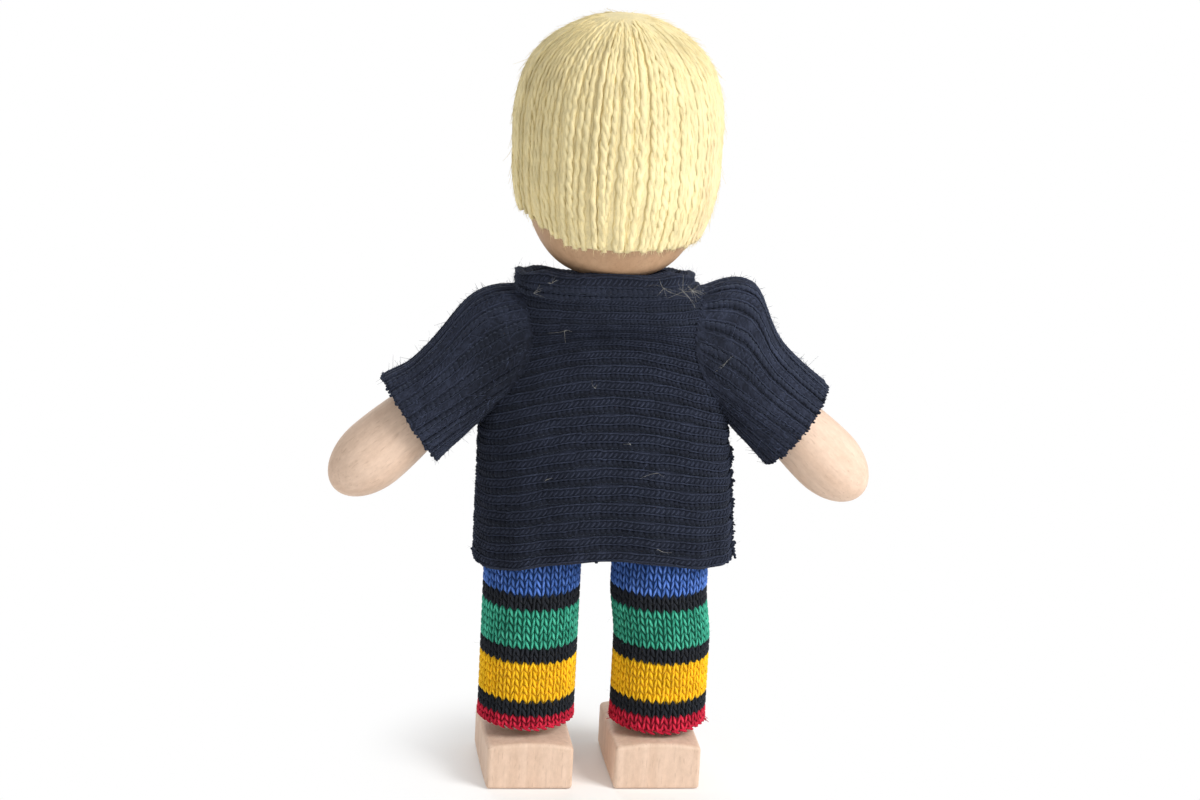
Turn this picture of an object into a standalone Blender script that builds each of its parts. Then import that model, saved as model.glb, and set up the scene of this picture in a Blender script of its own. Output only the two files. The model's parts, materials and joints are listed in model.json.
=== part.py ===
"""Miniature wooden doll with wired limbs, a yarn wig and knitted clothes.

Metres, +Z up. The doll stands on z = 0 between its feet, it faces -Y and its left is +X.
"""
import math

import bmesh
import bpy
from mathutils import Matrix, Vector

# Fits
GAP = 0.0003                # space kept between touching pieces

# Feet: loaf-shaped blocks
FOOT_WIDTH = 0.0119
FOOT_LENGTH = 0.0176
FOOT_HEIGHT = 0.0066
FOOT_CROWN = 0.0005         # rise of the top's middle line over its edges
FOOT_BELLY = 0.0005         # swell of each long side
FOOT_EDGE = 0.0008          # rounding of the edges
HEEL_REACH = 0.0082         # heel behind the leg's axis

# Legs and trousers
LEG_LENGTH = 0.0269         # foot to torso block
LEG_SPREAD = 0.0174         # between the legs' axes
LEG_BEND_DROP = 0.0085      # bending point below the torso block
TROUSER_LEG_DIAMETER = 0.0132
TROUSER_THICKNESS = 0.0012
TROUSER_HEM_LIFT = 0.0009   # hem over the foot
TROUSER_HEM_ROLL = 0.0001   # swell of the curled hem
TROUSER_HEM_SWING = 0.0009  # right hem hanging outwards
LEG_EASE = 0.0012           # between a leg's wrap and the knit
SEAT_EASE = 0.0007          # between the torso block and the knit
SEAT_RISE = 0.0095
WAISTBAND_HEIGHT = 0.0026
SEAT_SQUARENESS = 3.2       # power of the seat's oval section

# Torso block and neck
HIP_MARGIN = 0.0033         # block beyond each leg's axis
SHOULDER_WIDTH = 0.0190
TORSO_DEPTH = 0.0100
TORSO_HEIGHT = 0.0327
TORSO_EDGE = 0.0030
NECK_DIAMETER = 0.0050
NECK_LENGTH = 0.0042        # torso block to head
NECK_SEAT = 0.0080          # dowel inside the block, and inside the head

# Head and wig
HEAD_DIAMETER = 0.0246
HEAD_BASE_DIAMETER = 0.0080     # flat under the head
HEAD_JAW_HEIGHT = 0.0140        # rounded lower part
HEAD_CHEEK_HEIGHT = 0.0046      # straight part
HEAD_DOME_HEIGHT = 0.0130
WIG_SIDE_THICKNESS = 0.0014
WIG_TOP_THICKNESS = 0.0027
WIG_HEM_THICKNESS = 0.0006
WIG_HEM_LIFT = 0.0054           # wig's lower edge over the head's base
WIG_NOTCH_WIDTH = 0.0180        # shorter yarn on the left side
WIG_NOTCH_HEIGHT = 0.0035
FACE_WIDTH = 0.0186
FACE_HEIGHT = 0.0216
FACE_CENTRE_LIFT = 0.0126       # over the head's base

# Arms and hands
WIRE_DIAMETER = 0.0014
WIRE_ANCHOR = 0.0060        # wire inside the torso block
WIRE_GRIP = 0.0035          # wire inside a hand or a foot
SHOULDER_DROP = 0.0037      # arm wire below the block's top
SHOULDER_REACH = 0.0020     # bending point beside the block
ARM_SLOPE = math.radians(43)
ARM_LENGTH = 0.0174         # bending point to hand
ARM_WRAP_START = 0.0016     # bare wire at the bending point
ARM_WRAP_INSET = 0.0010     # wrap under the hand's surface
HAND_DIAMETER = 0.0092
HAND_LENGTH = 0.0158
HAND_WRIST_ROUND = 0.0012
HAND_TIP_LENGTH = 0.0062    # rounded end

# Tunic
TUNIC_THICKNESS = 0.0013
TUNIC_SIDE_EASE = 0.0011    # between the trousers and the tunic
TUNIC_FRONT_EASE = 0.0012
TUNIC_RISE = 0.0027         # top edge over the torso block
TUNIC_LENGTH = 0.0387       # top edge to the side of the hem
TUNIC_SQUARENESS = 2.5      # power of the body's oval section
TUNIC_TAPER = 0.0008        # each side narrower at the armpit than at the hem
TUNIC_SWING = 0.0008        # hem hanging towards the doll's right
BACK_HEM_RISE = 0.0024
FRONT_HEM_RISE = 0.0030
FRONT_NECK_DROP = 0.0018    # front neckline below the back one
HEM_FOLD_DEPTH = 0.00035
HEM_FOLD_COUNT = 7          # folds round half the body
COLLAR_WIDTH = 0.0246
COLLAR_DEPTH = 0.0164
COLLAR_HEIGHT = 0.0018
ARMHOLE_HEIGHT = 0.0186
ARMHOLE_DEPTH = 0.0128
ARMHOLE_MARGIN = 0.0006     # tunic left over the sleeve
ARMHOLE_TURNING = 0.0009    # cloth that stands into the sleeve
SLEEVE_THICKNESS = 0.0012
SLEEVE_LENGTH = 0.0193      # bending point to cuff
SLEEVE_SKEW = math.radians(7.5)     # cuff against the arm's square section
CUFF_EASE = 0.00055         # between the hand and the cuff
LEFT_CAP_PUFF = 0.0022      # fullness at the top of each sleeve
LEFT_CAP_PLACE = 0.30       # its place between armhole and cuff
LEFT_CAP_SPREAD = 0.26
LEFT_SLEEVE_EASE = 0.0002   # fullness along the whole top
RIGHT_CAP_PUFF = 0.0046
RIGHT_CAP_PLACE = 0.38
RIGHT_CAP_SPREAD = 0.16
RIGHT_SLEEVE_EASE = 0.0012
SEAM_WIDTH = 0.0014         # raw seam allowance on the right side
SEAM_STAND = 0.0010
SEAM_HEM_GAP = 0.0012
SEAM_ARMPIT_GAP = 0.0034
SEAM_BACK_STEP = 0.0006     # behind the meeting of back and front

# Facets
TURN_STEPS = 28
RING_POINTS = 28
PANEL_COLUMNS = 26
PANEL_ROWS = 12
SLEEVE_ROWS = 10
LEG_ROWS = 7

# Heights from the floor up
TORSO_BASE_Z = FOOT_HEIGHT + LEG_LENGTH
TORSO_TOP_Z = TORSO_BASE_Z + TORSO_HEIGHT
HEAD_BASE_Z = TORSO_TOP_Z + NECK_LENGTH
LEG_BEND_Z = TORSO_BASE_Z - LEG_BEND_DROP
SHOULDER_Z = TORSO_TOP_Z - SHOULDER_DROP
TUNIC_TOP_Z = TORSO_TOP_Z + TUNIC_RISE
TUNIC_HEM_Z = TUNIC_TOP_Z - TUNIC_LENGTH
ARMHOLE_Z = TUNIC_TOP_Z - ARMHOLE_MARGIN - ARMHOLE_HEIGHT / 2
ARMPIT_Z = ARMHOLE_Z - ARMHOLE_HEIGHT / 2

# Half sizes that neighbours share
LEG_X = LEG_SPREAD / 2
SHOULDER_X = SHOULDER_WIDTH / 2 + SHOULDER_REACH
LEG_RADIUS = TROUSER_LEG_DIAMETER / 2
LEG_WRAP_RADIUS = LEG_RADIUS - TROUSER_THICKNESS - LEG_EASE
HIP_HALF_WIDTH = LEG_X + HIP_MARGIN
SEAT_HALF_WIDTH = max(LEG_X + LEG_RADIUS, HIP_HALF_WIDTH + SEAT_EASE + TROUSER_THICKNESS)
SEAT_HALF_DEPTH = TORSO_DEPTH / 2 + SEAT_EASE + TROUSER_THICKNESS
TUNIC_HALF_WIDTH = SEAT_HALF_WIDTH + TUNIC_SIDE_EASE + TUNIC_THICKNESS
TUNIC_HALF_DEPTH = max(SEAT_HALF_DEPTH, LEG_RADIUS) + TUNIC_FRONT_EASE + TUNIC_THICKNESS
HAND_RADIUS = HAND_DIAMETER / 2
ARM_WRAP_RADIUS = HAND_RADIUS - ARM_WRAP_INSET
CUFF_RADIUS = HAND_RADIUS + CUFF_EASE + SLEEVE_THICKNESS
WIRE_BORE_RADIUS = WIRE_DIAMETER / 2 + GAP
NECK_BORE_RADIUS = NECK_DIAMETER / 2 + GAP
HEAD_HEIGHT = HEAD_JAW_HEIGHT + HEAD_CHEEK_HEIGHT + HEAD_DOME_HEIGHT

# Colours
WOOD = (0.82, 0.61, 0.44)
HEAD_WOOD = (0.75, 0.52, 0.36)
HIDDEN_WOOD = (0.70, 0.52, 0.35)
STEEL = (0.55, 0.55, 0.56)
COTTON = (0.80, 0.78, 0.72)
YARN = (0.86, 0.78, 0.42)
NAVY = (0.016, 0.020, 0.042)
STRIPES = (0.06, 0.28, 0.17)
ELASTIC = (0.05, 0.05, 0.06)

for old in list(bpy.data.objects):
    bpy.data.objects.remove(old, do_unlink=True)

PARTS = bpy.data.collections.new("miniature_doll")
CUTTERS = bpy.data.collections.new("cutters")
bpy.context.scene.collection.children.link(PARTS)
bpy.context.scene.collection.children.link(CUTTERS)


def dress(item, colour, roughness, metallic=0.0):
    """Give an object its own Principled material."""
    material = bpy.data.materials.new(item.name)
    material.use_nodes = True
    shader = material.node_tree.nodes["Principled BSDF"]
    shader.inputs["Base Color"].default_value = (*colour, 1.0)
    shader.inputs["Roughness"].default_value = roughness
    shader.inputs["Metallic"].default_value = metallic
    item.data.materials.append(material)


def add_mesh(name, shape, collection=PARTS, smooth=True):
    """Turn a bmesh into a named object of a collection."""
    mesh = bpy.data.meshes.new(name)
    shape.to_mesh(mesh)
    shape.free()
    if smooth:
        mesh.shade_smooth()
        mesh.set_sharp_from_angle(angle=math.radians(45))
    item = bpy.data.objects.new(name, mesh)
    collection.objects.link(item)
    return item


def turned(name, profile):
    """Turn a profile of (radius, height), listed down its outer side, about Z."""
    shape = bmesh.new()
    points = [shape.verts.new((radius, 0.0, height)) for radius, height in profile]
    for upper, lower in zip(points, points[1:]):
        shape.edges.new((upper, lower))
    item = add_mesh(name, shape, smooth=False)
    screw = item.modifiers.new("turn", "SCREW")
    screw.steps = TURN_STEPS
    screw.render_steps = TURN_STEPS
    screw.use_merge_vertices = True
    screw.merge_threshold = 0.00001
    screw.use_smooth_shade = True
    return item


def grid_faces(shape, rows, closed):
    """Join rows of points, in counter-clockwise order and from bottom to top, with quads."""
    verts = [[shape.verts.new(point) for point in row] for row in rows]
    for low, high in zip(verts, verts[1:]):
        count = len(low)
        for i in range(count if closed else count - 1):
            j = (i + 1) % count
            shape.faces.new((low[i], low[j], high[j], high[i]))
    return verts


def knit_shell(name, rows, thickness, closed=True):
    """An open knitted surface, thickened inwards."""
    shape = bmesh.new()
    grid_faces(shape, rows, closed)
    item = add_mesh(name, shape)
    solidify = item.modifiers.new("thickness", "SOLIDIFY")
    solidify.thickness = thickness
    solidify.offset = -1.0
    solidify.use_even_offset = True
    return item


def wire(name, points, diameter):
    """A round wire through points."""
    curve = bpy.data.curves.new(name, "CURVE")
    curve.dimensions = "3D"
    curve.bevel_depth = diameter / 2
    curve.bevel_resolution = 2
    curve.use_fill_caps = True
    spline = curve.splines.new("POLY")
    spline.points.add(len(points) - 1)
    for place, point in zip(spline.points, points):
        place.co = (*point, 1.0)
    item = bpy.data.objects.new(name, curve)
    PARTS.objects.link(item)
    return item


def rod_cutter(name, start, end, radius_across, radius_up=None):
    """A round or oval rod from start to end, used only to cut."""
    start, end = Vector(start), Vector(end)
    along = end - start
    shape = bmesh.new()
    bmesh.ops.create_cone(shape, cap_ends=True, segments=TURN_STEPS, radius1=1.0, radius2=1.0, depth=1.0)
    bmesh.ops.scale(shape, verts=shape.verts, vec=(radius_across, radius_up or radius_across, along.length))
    turn = along.to_track_quat("Z", "Y").to_matrix().to_4x4()
    bmesh.ops.transform(shape, verts=shape.verts, matrix=Matrix.Translation((start + end) / 2) @ turn)
    item = add_mesh(name, shape, collection=CUTTERS, smooth=False)
    item.hide_render = True
    item.display_type = "WIRE"
    return item


def cut(item, cutter):
    """Take a cutter out of an object."""
    boolean = item.modifiers.new(cutter.name, "BOOLEAN")
    boolean.operation = "DIFFERENCE"
    boolean.solver = "EXACT"
    boolean.object = cutter


def pivot(name, place):
    """An empty on a joint's axis."""
    empty = bpy.data.objects.new(name, None)
    empty.location = place
    empty.empty_display_size = 0.004
    PARTS.objects.link(empty)
    return empty


def hang(item, empty):
    """Parent an object to a joint's empty without moving it."""
    item.parent = empty
    item.matrix_parent_inverse = Matrix.Translation(empty.location).inverted()


def oval(half_width, half_depth, angle, power):
    """A point of a squarish oval at an angle."""
    across, deep = math.cos(angle), math.sin(angle)
    return (math.copysign(abs(across) ** (2 / power), across) * half_width,
            math.copysign(abs(deep) ** (2 / power), deep) * half_depth)


def smooth_step(value):
    """Ease from 0 to 1."""
    value = min(max(value, 0.0), 1.0)
    return value * value * (3 - 2 * value)


def ring_angles():
    return [math.tau * i / RING_POINTS for i in range(RING_POINTS)]


def arc(count, sweep=math.pi / 2):
    """Angles from 0 through a sweep, both ends included."""
    return [sweep * i / count for i in range(count + 1)]


def head_outline(grow, lift):
    """Outer side of the head, grown by a distance, from its top down to a lift over its base."""
    radius = HEAD_DIAMETER / 2 + grow
    flat = HEAD_BASE_DIAMETER / 2
    jaw_top = HEAD_BASE_Z + HEAD_JAW_HEIGHT
    dome_base = jaw_top + HEAD_CHEEK_HEIGHT
    jaw_height = HEAD_JAW_HEIGHT + grow
    sweep = math.asin(min((HEAD_JAW_HEIGHT - lift) / jaw_height, 1.0))
    dome = [(radius * math.sin(a), dome_base + (HEAD_DOME_HEIGHT + grow) * math.cos(a)) for a in arc(9)]
    jaw = [(flat + (radius - flat) * math.cos(a), jaw_top - jaw_height * math.sin(a))
           for a in arc(9, sweep)]
    return dome + jaw


# Feet, with a hole for the leg's wire
for side, sign in (("left", 1), ("right", -1)):
    shape = bmesh.new()
    bmesh.ops.create_cube(shape, size=1.0)
    bmesh.ops.scale(shape, verts=shape.verts, vec=(FOOT_WIDTH - 2 * FOOT_BELLY, FOOT_LENGTH, FOOT_HEIGHT))
    bmesh.ops.subdivide_edges(shape, edges=shape.edges, cuts=5, use_grid_fill=True)
    for vert in shape.verts:
        across = vert.co.x / (FOOT_WIDTH / 2 - FOOT_BELLY)
        along = vert.co.y / (FOOT_LENGTH / 2)
        vert.co.x += across * FOOT_BELLY * (1 - along ** 2)
        vert.co.z -= (vert.co.z / FOOT_HEIGHT + 0.5) * FOOT_CROWN * across ** 2
    foot = add_mesh(f"{side}_foot", shape)
    foot.location = (sign * LEG_X, HEEL_REACH - FOOT_LENGTH / 2, FOOT_HEIGHT / 2)
    bevel = foot.modifiers.new("edges", "BEVEL")
    bevel.width = FOOT_EDGE
    bevel.segments = 3
    bevel.limit_method = "ANGLE"
    bevel.angle_limit = math.radians(50)
    bore_floor = FOOT_HEIGHT - WIRE_GRIP - GAP
    cut(foot, rod_cutter(f"{side}_foot_bore", (sign * LEG_X, 0, bore_floor),
                         (sign * LEG_X, 0, FOOT_HEIGHT * 2), WIRE_BORE_RADIUS))
    dress(foot, WOOD, 0.6)

# Torso block, a wedge that narrows to the shoulders
shape = bmesh.new()
bmesh.ops.create_cube(shape, size=1.0)
bmesh.ops.scale(shape, verts=shape.verts, vec=(1.0, TORSO_DEPTH, TORSO_HEIGHT))
for vert in shape.verts:
    vert.co.x *= 2 * HIP_HALF_WIDTH if vert.co.z < 0 else SHOULDER_WIDTH
torso = add_mesh("torso_block", shape)
torso.location.z = (TORSO_BASE_Z + TORSO_TOP_Z) / 2
bevel = torso.modifiers.new("edges", "BEVEL")
bevel.width = TORSO_EDGE
bevel.segments = 3
cut(torso, rod_cutter("neck_bore", (0, 0, TORSO_TOP_Z - NECK_SEAT - GAP),
                      (0, 0, TORSO_TOP_Z + NECK_LENGTH), NECK_BORE_RADIUS))
for side, sign in (("left", 1), ("right", -1)):
    anchor_x = SHOULDER_WIDTH / 2 - WIRE_ANCHOR - GAP
    cut(torso, rod_cutter(f"{side}_arm_bore", (sign * anchor_x, 0, SHOULDER_Z),
                          (sign * TUNIC_HALF_WIDTH, 0, SHOULDER_Z), WIRE_BORE_RADIUS))
    cut(torso, rod_cutter(f"{side}_leg_bore", (sign * LEG_X, 0, LEG_BEND_Z),
                          (sign * LEG_X, 0, TORSO_BASE_Z + WIRE_ANCHOR + GAP), WIRE_BORE_RADIUS))
dress(torso, HIDDEN_WOOD, 0.65)

# Neck dowel
neck_low = TORSO_TOP_Z - NECK_SEAT
neck_high = HEAD_BASE_Z + NECK_SEAT
neck_radius = NECK_DIAMETER / 2
neck = turned("neck_dowel", [
    (0, neck_high), (neck_radius, neck_high), (neck_radius, neck_low), (0, neck_low)])
dress(neck, HIDDEN_WOOD, 0.6)

# Head, bored from below for the dowel
head_pivot = pivot("head_pivot", (0, 0, HEAD_BASE_Z))
bore_top = neck_high + GAP
head = turned("head", head_outline(0.0, 0.0) + [
    (NECK_BORE_RADIUS, HEAD_BASE_Z), (NECK_BORE_RADIUS, bore_top), (0, bore_top)])
dress(head, HEAD_WOOD, 0.55)
hang(head, head_pivot)

# Wig, open over the face
wig_hem_z = HEAD_BASE_Z + WIG_HEM_LIFT
inner = head_outline(GAP, WIG_HEM_LIFT)
wig_reach = HEAD_HEIGHT - WIG_HEM_LIFT + GAP
outer = []
for radius, height in inner:
    share = smooth_step((height - wig_hem_z) / (HEAD_JAW_HEIGHT + HEAD_CHEEK_HEIGHT - WIG_HEM_LIFT))
    side_thickness = WIG_HEM_THICKNESS + (WIG_SIDE_THICKNESS - WIG_HEM_THICKNESS) * share
    crown = max(0.0, (height - wig_hem_z) / wig_reach) ** 2
    outer.append((radius * (1 + 2 * side_thickness / HEAD_DIAMETER), height + WIG_TOP_THICKNESS * crown))
wig = turned("wig", outer + inner[::-1])
face = rod_cutter("face_opening", (0, -HEAD_DIAMETER, HEAD_BASE_Z + FACE_CENTRE_LIFT),
                  (0, 0, HEAD_BASE_Z + FACE_CENTRE_LIFT), FACE_WIDTH / 2, FACE_HEIGHT / 2)
cut(wig, face)
notch = rod_cutter("wig_notch", (0, 0, wig_hem_z), (HEAD_DIAMETER, 0, wig_hem_z),
                   WIG_NOTCH_WIDTH / 2, WIG_NOTCH_HEIGHT)
cut(wig, notch)
dress(wig, YARN, 0.9)
hang(wig, head_pivot)

# Legs: a wire in a cotton wrap, under a knitted tube with a curled hem
for side, sign in (("left", 1), ("right", -1)):
    leg_pivot = pivot(f"{side}_leg_pivot", (sign * LEG_X, 0, LEG_BEND_Z))
    wire_low = FOOT_HEIGHT - WIRE_GRIP
    wire_high = TORSO_BASE_Z + WIRE_ANCHOR
    leg_wire = wire(
        f"{side}_leg_wire", [(sign * LEG_X, 0, wire_high), (sign * LEG_X, 0, wire_low)], WIRE_DIAMETER)
    dress(leg_wire, STEEL, 0.4, metallic=1.0)

    wrap_low = FOOT_HEIGHT + GAP
    wrap_high = TORSO_BASE_Z - GAP
    leg_wrap = turned(f"{side}_leg_wrap", [
        (WIRE_BORE_RADIUS, wrap_high), (LEG_WRAP_RADIUS, wrap_high),
        (LEG_WRAP_RADIUS, wrap_low), (WIRE_BORE_RADIUS, wrap_low), (WIRE_BORE_RADIUS, wrap_high)])
    leg_wrap.location.x = sign * LEG_X
    dress(leg_wrap, COTTON, 0.95)

    hem_z = FOOT_HEIGHT + TROUSER_HEM_LIFT
    rows = []
    for row in range(LEG_ROWS + 1):
        share = row / LEG_ROWS
        height = hem_z + (wrap_high - hem_z) * share ** 1.5
        radius = LEG_RADIUS + TROUSER_HEM_ROLL * (1 - smooth_step(share * 4))
        swing = TROUSER_HEM_SWING * (1 - smooth_step(share * 1.5)) if side == "right" else 0.0
        rows.append([(sign * LEG_X - swing + radius * math.cos(a), radius * math.sin(a), height)
                     for a in ring_angles()])
    trouser_leg = knit_shell(f"{side}_trouser_leg", rows, TROUSER_THICKNESS)
    dress(trouser_leg, STRIPES, 0.95)

    foot_pivot = pivot(f"{side}_foot_pivot", (sign * LEG_X, 0, FOOT_HEIGHT))
    hang(bpy.data.objects[f"{side}_foot"], foot_pivot)
    hang(foot_pivot, leg_pivot)
    for item in (leg_wire, leg_wrap, trouser_leg):
        hang(item, leg_pivot)

# Seat and waistband
seat_top_z = TORSO_BASE_Z + SEAT_RISE
for name, low, high, colour in (
        ("trouser_seat", TORSO_BASE_Z, seat_top_z - GAP, STRIPES),
        ("waistband", seat_top_z, seat_top_z + WAISTBAND_HEIGHT, ELASTIC)):
    rows = []
    for height in (low, (low + high) / 2, high):
        section = [oval(SEAT_HALF_WIDTH, SEAT_HALF_DEPTH, a, SEAT_SQUARENESS) for a in ring_angles()]
        rows.append([(x, y, height) for x, y in section])
    band = knit_shell(name, rows, TROUSER_THICKNESS)
    dress(band, colour, 0.95)


def below_armpit(height):
    """0 at the armpit and above, 1 at the side of the hem."""
    return max((ARMPIT_Z - height) / (ARMPIT_Z - TUNIC_HEM_Z), 0.0)


def tunic_half_width(height):
    """Half the tunic's width: tapered to the armpit, then drawn in to the collar."""
    share = smooth_step((height - ARMPIT_Z) / (TUNIC_TOP_Z - ARMPIT_Z))
    body = TUNIC_HALF_WIDTH - TUNIC_TAPER * (1 - below_armpit(height))
    return body + (COLLAR_WIDTH / 2 - body) * share


def tunic_half_depth(height):
    share = smooth_step((height - ARMPIT_Z) / (TUNIC_TOP_Z - ARMPIT_Z))
    return TUNIC_HALF_DEPTH + (COLLAR_DEPTH / 2 - TUNIC_HALF_DEPTH) * share


def tunic_side(deep, height):
    """How far the tunic's side stands out at a depth and a height."""
    share = min(abs(deep) / tunic_half_depth(height), 1.0)
    return tunic_half_width(height) * (1 - share ** TUNIC_SQUARENESS) ** (1 / TUNIC_SQUARENESS)


def tunic_panel(name, start, hem_rise, hem_power, neck_drop):
    """Half of the tunic's body, from an angle round to the opposite side."""
    meeting = GAP / TUNIC_HALF_DEPTH
    rows = []
    for row in range(PANEL_ROWS + 1):
        share = row / PANEL_ROWS
        points = []
        for column in range(PANEL_COLUMNS + 1):
            turn = math.pi * column / PANEL_COLUMNS
            middle = math.sin(turn)
            hem = TUNIC_HEM_Z + hem_rise * middle ** hem_power
            height = hem + (TUNIC_TOP_Z - neck_drop * middle - hem) * share
            fold = HEM_FOLD_DEPTH * (1 - share) ** 3 * middle * math.cos(2 * HEM_FOLD_COUNT * turn)
            angle = start + min(max(turn, meeting), math.pi - meeting)
            x, y = oval(tunic_half_width(height) + fold, tunic_half_depth(height) + fold,
                        angle, TUNIC_SQUARENESS)
            points.append((x - TUNIC_SWING * below_armpit(height), y, height))
        rows.append(points)
    return knit_shell(name, rows, TUNIC_THICKNESS, closed=False)


# Tunic body with its armholes
armholes = rod_cutter(
    "armholes", (-2 * TUNIC_HALF_WIDTH, 0, ARMHOLE_Z), (2 * TUNIC_HALF_WIDTH, 0, ARMHOLE_Z),
    ARMHOLE_DEPTH / 2 - ARMHOLE_TURNING, ARMHOLE_HEIGHT / 2 - ARMHOLE_TURNING)
for name, start, hem_rise, hem_power, neck_drop in (
        ("tunic_back", 0.0, BACK_HEM_RISE, 5, 0.0),
        ("tunic_front", math.pi, FRONT_HEM_RISE, 1, FRONT_NECK_DROP)):
    panel = tunic_panel(name, start, hem_rise, hem_power, neck_drop)
    cut(panel, armholes)
    dress(panel, NAVY, 0.95)

# Neckband, lower in front
rows = []
for share in (0.0, 0.5, 1.0):
    ring = []
    for a in ring_angles():
        x, y = oval(COLLAR_WIDTH / 2, COLLAR_DEPTH / 2, a, TUNIC_SQUARENESS)
        drop = FRONT_NECK_DROP * max(-math.sin(a), 0.0)
        ring.append((x, y, TUNIC_TOP_Z + GAP - drop + COLLAR_HEIGHT * share))
    rows.append(ring)
neckband = knit_shell("neckband", rows, TUNIC_THICKNESS)
dress(neckband, NAVY, 0.95)

# Raw seam allowance down the right side
seam_low = TUNIC_HEM_Z + SEAM_HEM_GAP
seam_high = ARMPIT_Z - SEAM_ARMPIT_GAP
shape = bmesh.new()
bmesh.ops.create_cube(shape, size=1.0)
bmesh.ops.scale(shape, verts=shape.verts, vec=(SEAM_STAND, SEAM_WIDTH, seam_high - seam_low))
bmesh.ops.translate(shape, verts=shape.verts, vec=(
    -(HEM_FOLD_DEPTH + GAP + SEAM_STAND / 2), SEAM_BACK_STEP + SEAM_WIDTH / 2, (seam_high + seam_low) / 2))
for vert in shape.verts:
    vert.co.x -= tunic_half_width(vert.co.z) + TUNIC_SWING * below_armpit(vert.co.z)
seam = add_mesh("side_seam", shape)
dress(seam, NAVY, 0.95)


def sleeve_ring(sign, share, inset, fullness):
    """A ring of a sleeve between the armhole (share 0) and the cuff (share 1)."""
    along = Vector((math.cos(ARM_SLOPE), 0, -math.sin(ARM_SLOPE)))
    cuff = Vector((SHOULDER_X, 0, SHOULDER_Z)) + along * SLEEVE_LENGTH
    lean = math.pi / 2 - ARM_SLOPE + SLEEVE_SKEW
    cuff_up = Vector((math.cos(lean), 0, math.sin(lean)))
    points = []
    for a in ring_angles():
        up, deep = math.cos(a), math.sin(a)
        root_y = (ARMHOLE_DEPTH / 2 - inset) * deep
        root_z = ARMHOLE_Z + (ARMHOLE_HEIGHT / 2 - inset) * up
        root = Vector((tunic_side(root_y, root_z) + GAP, root_y, root_z))
        end = cuff + (cuff_up * up + Vector((0, deep, 0))) * (CUFF_RADIUS - inset)
        point = root.lerp(end, share) + Vector((0.1, 0, 1)) * fullness(share) * max(up, 0.0) ** 1.5
        points.append((sign * point.x, point.y, point.z))
    return points if sign > 0 else points[::-1]


def cap_shape(share, place, spread):
    """Rise from the armhole to a sleeve's fullest place, then fall towards the cuff."""
    rise = math.sin(math.pi / 2 * min(share / place, 1.0))
    return rise * math.exp(-(max(share - place, 0.0) / spread) ** 2)


def left_fullness(share):
    """How far the top of the left sleeve stands over the straight line from armhole to cuff."""
    cap = LEFT_CAP_PUFF * cap_shape(share, LEFT_CAP_PLACE, LEFT_CAP_SPREAD)
    return cap + LEFT_SLEEVE_EASE * math.sin(math.pi * share)


def right_fullness(share):
    """The same for the right sleeve."""
    cap = RIGHT_CAP_PUFF * cap_shape(share, RIGHT_CAP_PLACE, RIGHT_CAP_SPREAD)
    return cap + RIGHT_SLEEVE_EASE * math.sin(math.pi * share)


# Arms: a bent wire in a cotton wrap, under a sleeve, with a wooden hand
for side, sign, fullness in (("left", 1, left_fullness), ("right", -1, right_fullness)):
    shoulder = Vector((sign * SHOULDER_X, 0, SHOULDER_Z))
    along = Vector((sign * math.cos(ARM_SLOPE), 0, -math.sin(ARM_SLOPE)))
    arm_pivot = pivot(f"{side}_arm_pivot", shoulder)
    turn = (-along).to_track_quat("Z", "Y")

    anchor = Vector((sign * (SHOULDER_WIDTH / 2 - WIRE_ANCHOR), 0, SHOULDER_Z))
    leave = Vector((sign * SHOULDER_WIDTH / 2, 0, SHOULDER_Z))
    bend = [leave.lerp(shoulder, t).lerp(shoulder.lerp(shoulder + along * ARM_WRAP_START, t), t)
            for t in (0.0, 0.25, 0.5, 0.75, 1.0)]
    route = [anchor] + bend + [shoulder + along * (ARM_LENGTH + WIRE_GRIP)]
    arm_wire = wire(f"{side}_arm_wire", route, WIRE_DIAMETER)
    dress(arm_wire, STEEL, 0.4, metallic=1.0)

    wrap_length = ARM_LENGTH - GAP - ARM_WRAP_START
    arm_wrap = turned(f"{side}_arm_wrap", [
        (WIRE_BORE_RADIUS, wrap_length), (ARM_WRAP_RADIUS, wrap_length),
        (ARM_WRAP_RADIUS, 0), (WIRE_BORE_RADIUS, 0), (WIRE_BORE_RADIUS, wrap_length)])
    arm_wrap.rotation_mode = "QUATERNION"
    arm_wrap.rotation_quaternion = turn
    arm_wrap.location = shoulder + along * (ARM_LENGTH - GAP)
    dress(arm_wrap, COTTON, 0.95)

    wrist = [(HAND_RADIUS - HAND_WRIST_ROUND * (1 - math.sin(a)),
              HAND_LENGTH - HAND_WRIST_ROUND * (1 - math.cos(a))) for a in arc(3)]
    tip = [(HAND_RADIUS * math.cos(a), HAND_TIP_LENGTH * (1 - math.sin(a))) for a in arc(8)]
    bore_floor = HAND_LENGTH - WIRE_GRIP - GAP
    bore = [(0, bore_floor), (WIRE_BORE_RADIUS, bore_floor), (WIRE_BORE_RADIUS, HAND_LENGTH)]
    hand = turned(f"{side}_hand", bore + wrist + tip)
    hand.rotation_mode = "QUATERNION"
    hand.rotation_quaternion = turn
    hand.location = shoulder + along * (ARM_LENGTH + HAND_LENGTH)
    dress(hand, WOOD, 0.55)

    steps = [i / SLEEVE_ROWS for i in range(SLEEVE_ROWS + 1)]
    rings = [sleeve_ring(sign, t, 0.0, fullness) for t in steps]
    rings += [sleeve_ring(sign, t, SLEEVE_THICKNESS, fullness) for t in reversed(steps)]
    shape = bmesh.new()
    grid_faces(shape, rings + rings[:1], closed=True)
    bmesh.ops.remove_doubles(shape, verts=shape.verts, dist=0.00001)
    bmesh.ops.recalc_face_normals(shape, faces=shape.faces)
    sleeve = add_mesh(f"{side}_sleeve", shape)
    dress(sleeve, NAVY, 0.95)

    for item in (arm_wire, arm_wrap, hand, sleeve):
        hang(item, arm_pivot)
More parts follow.
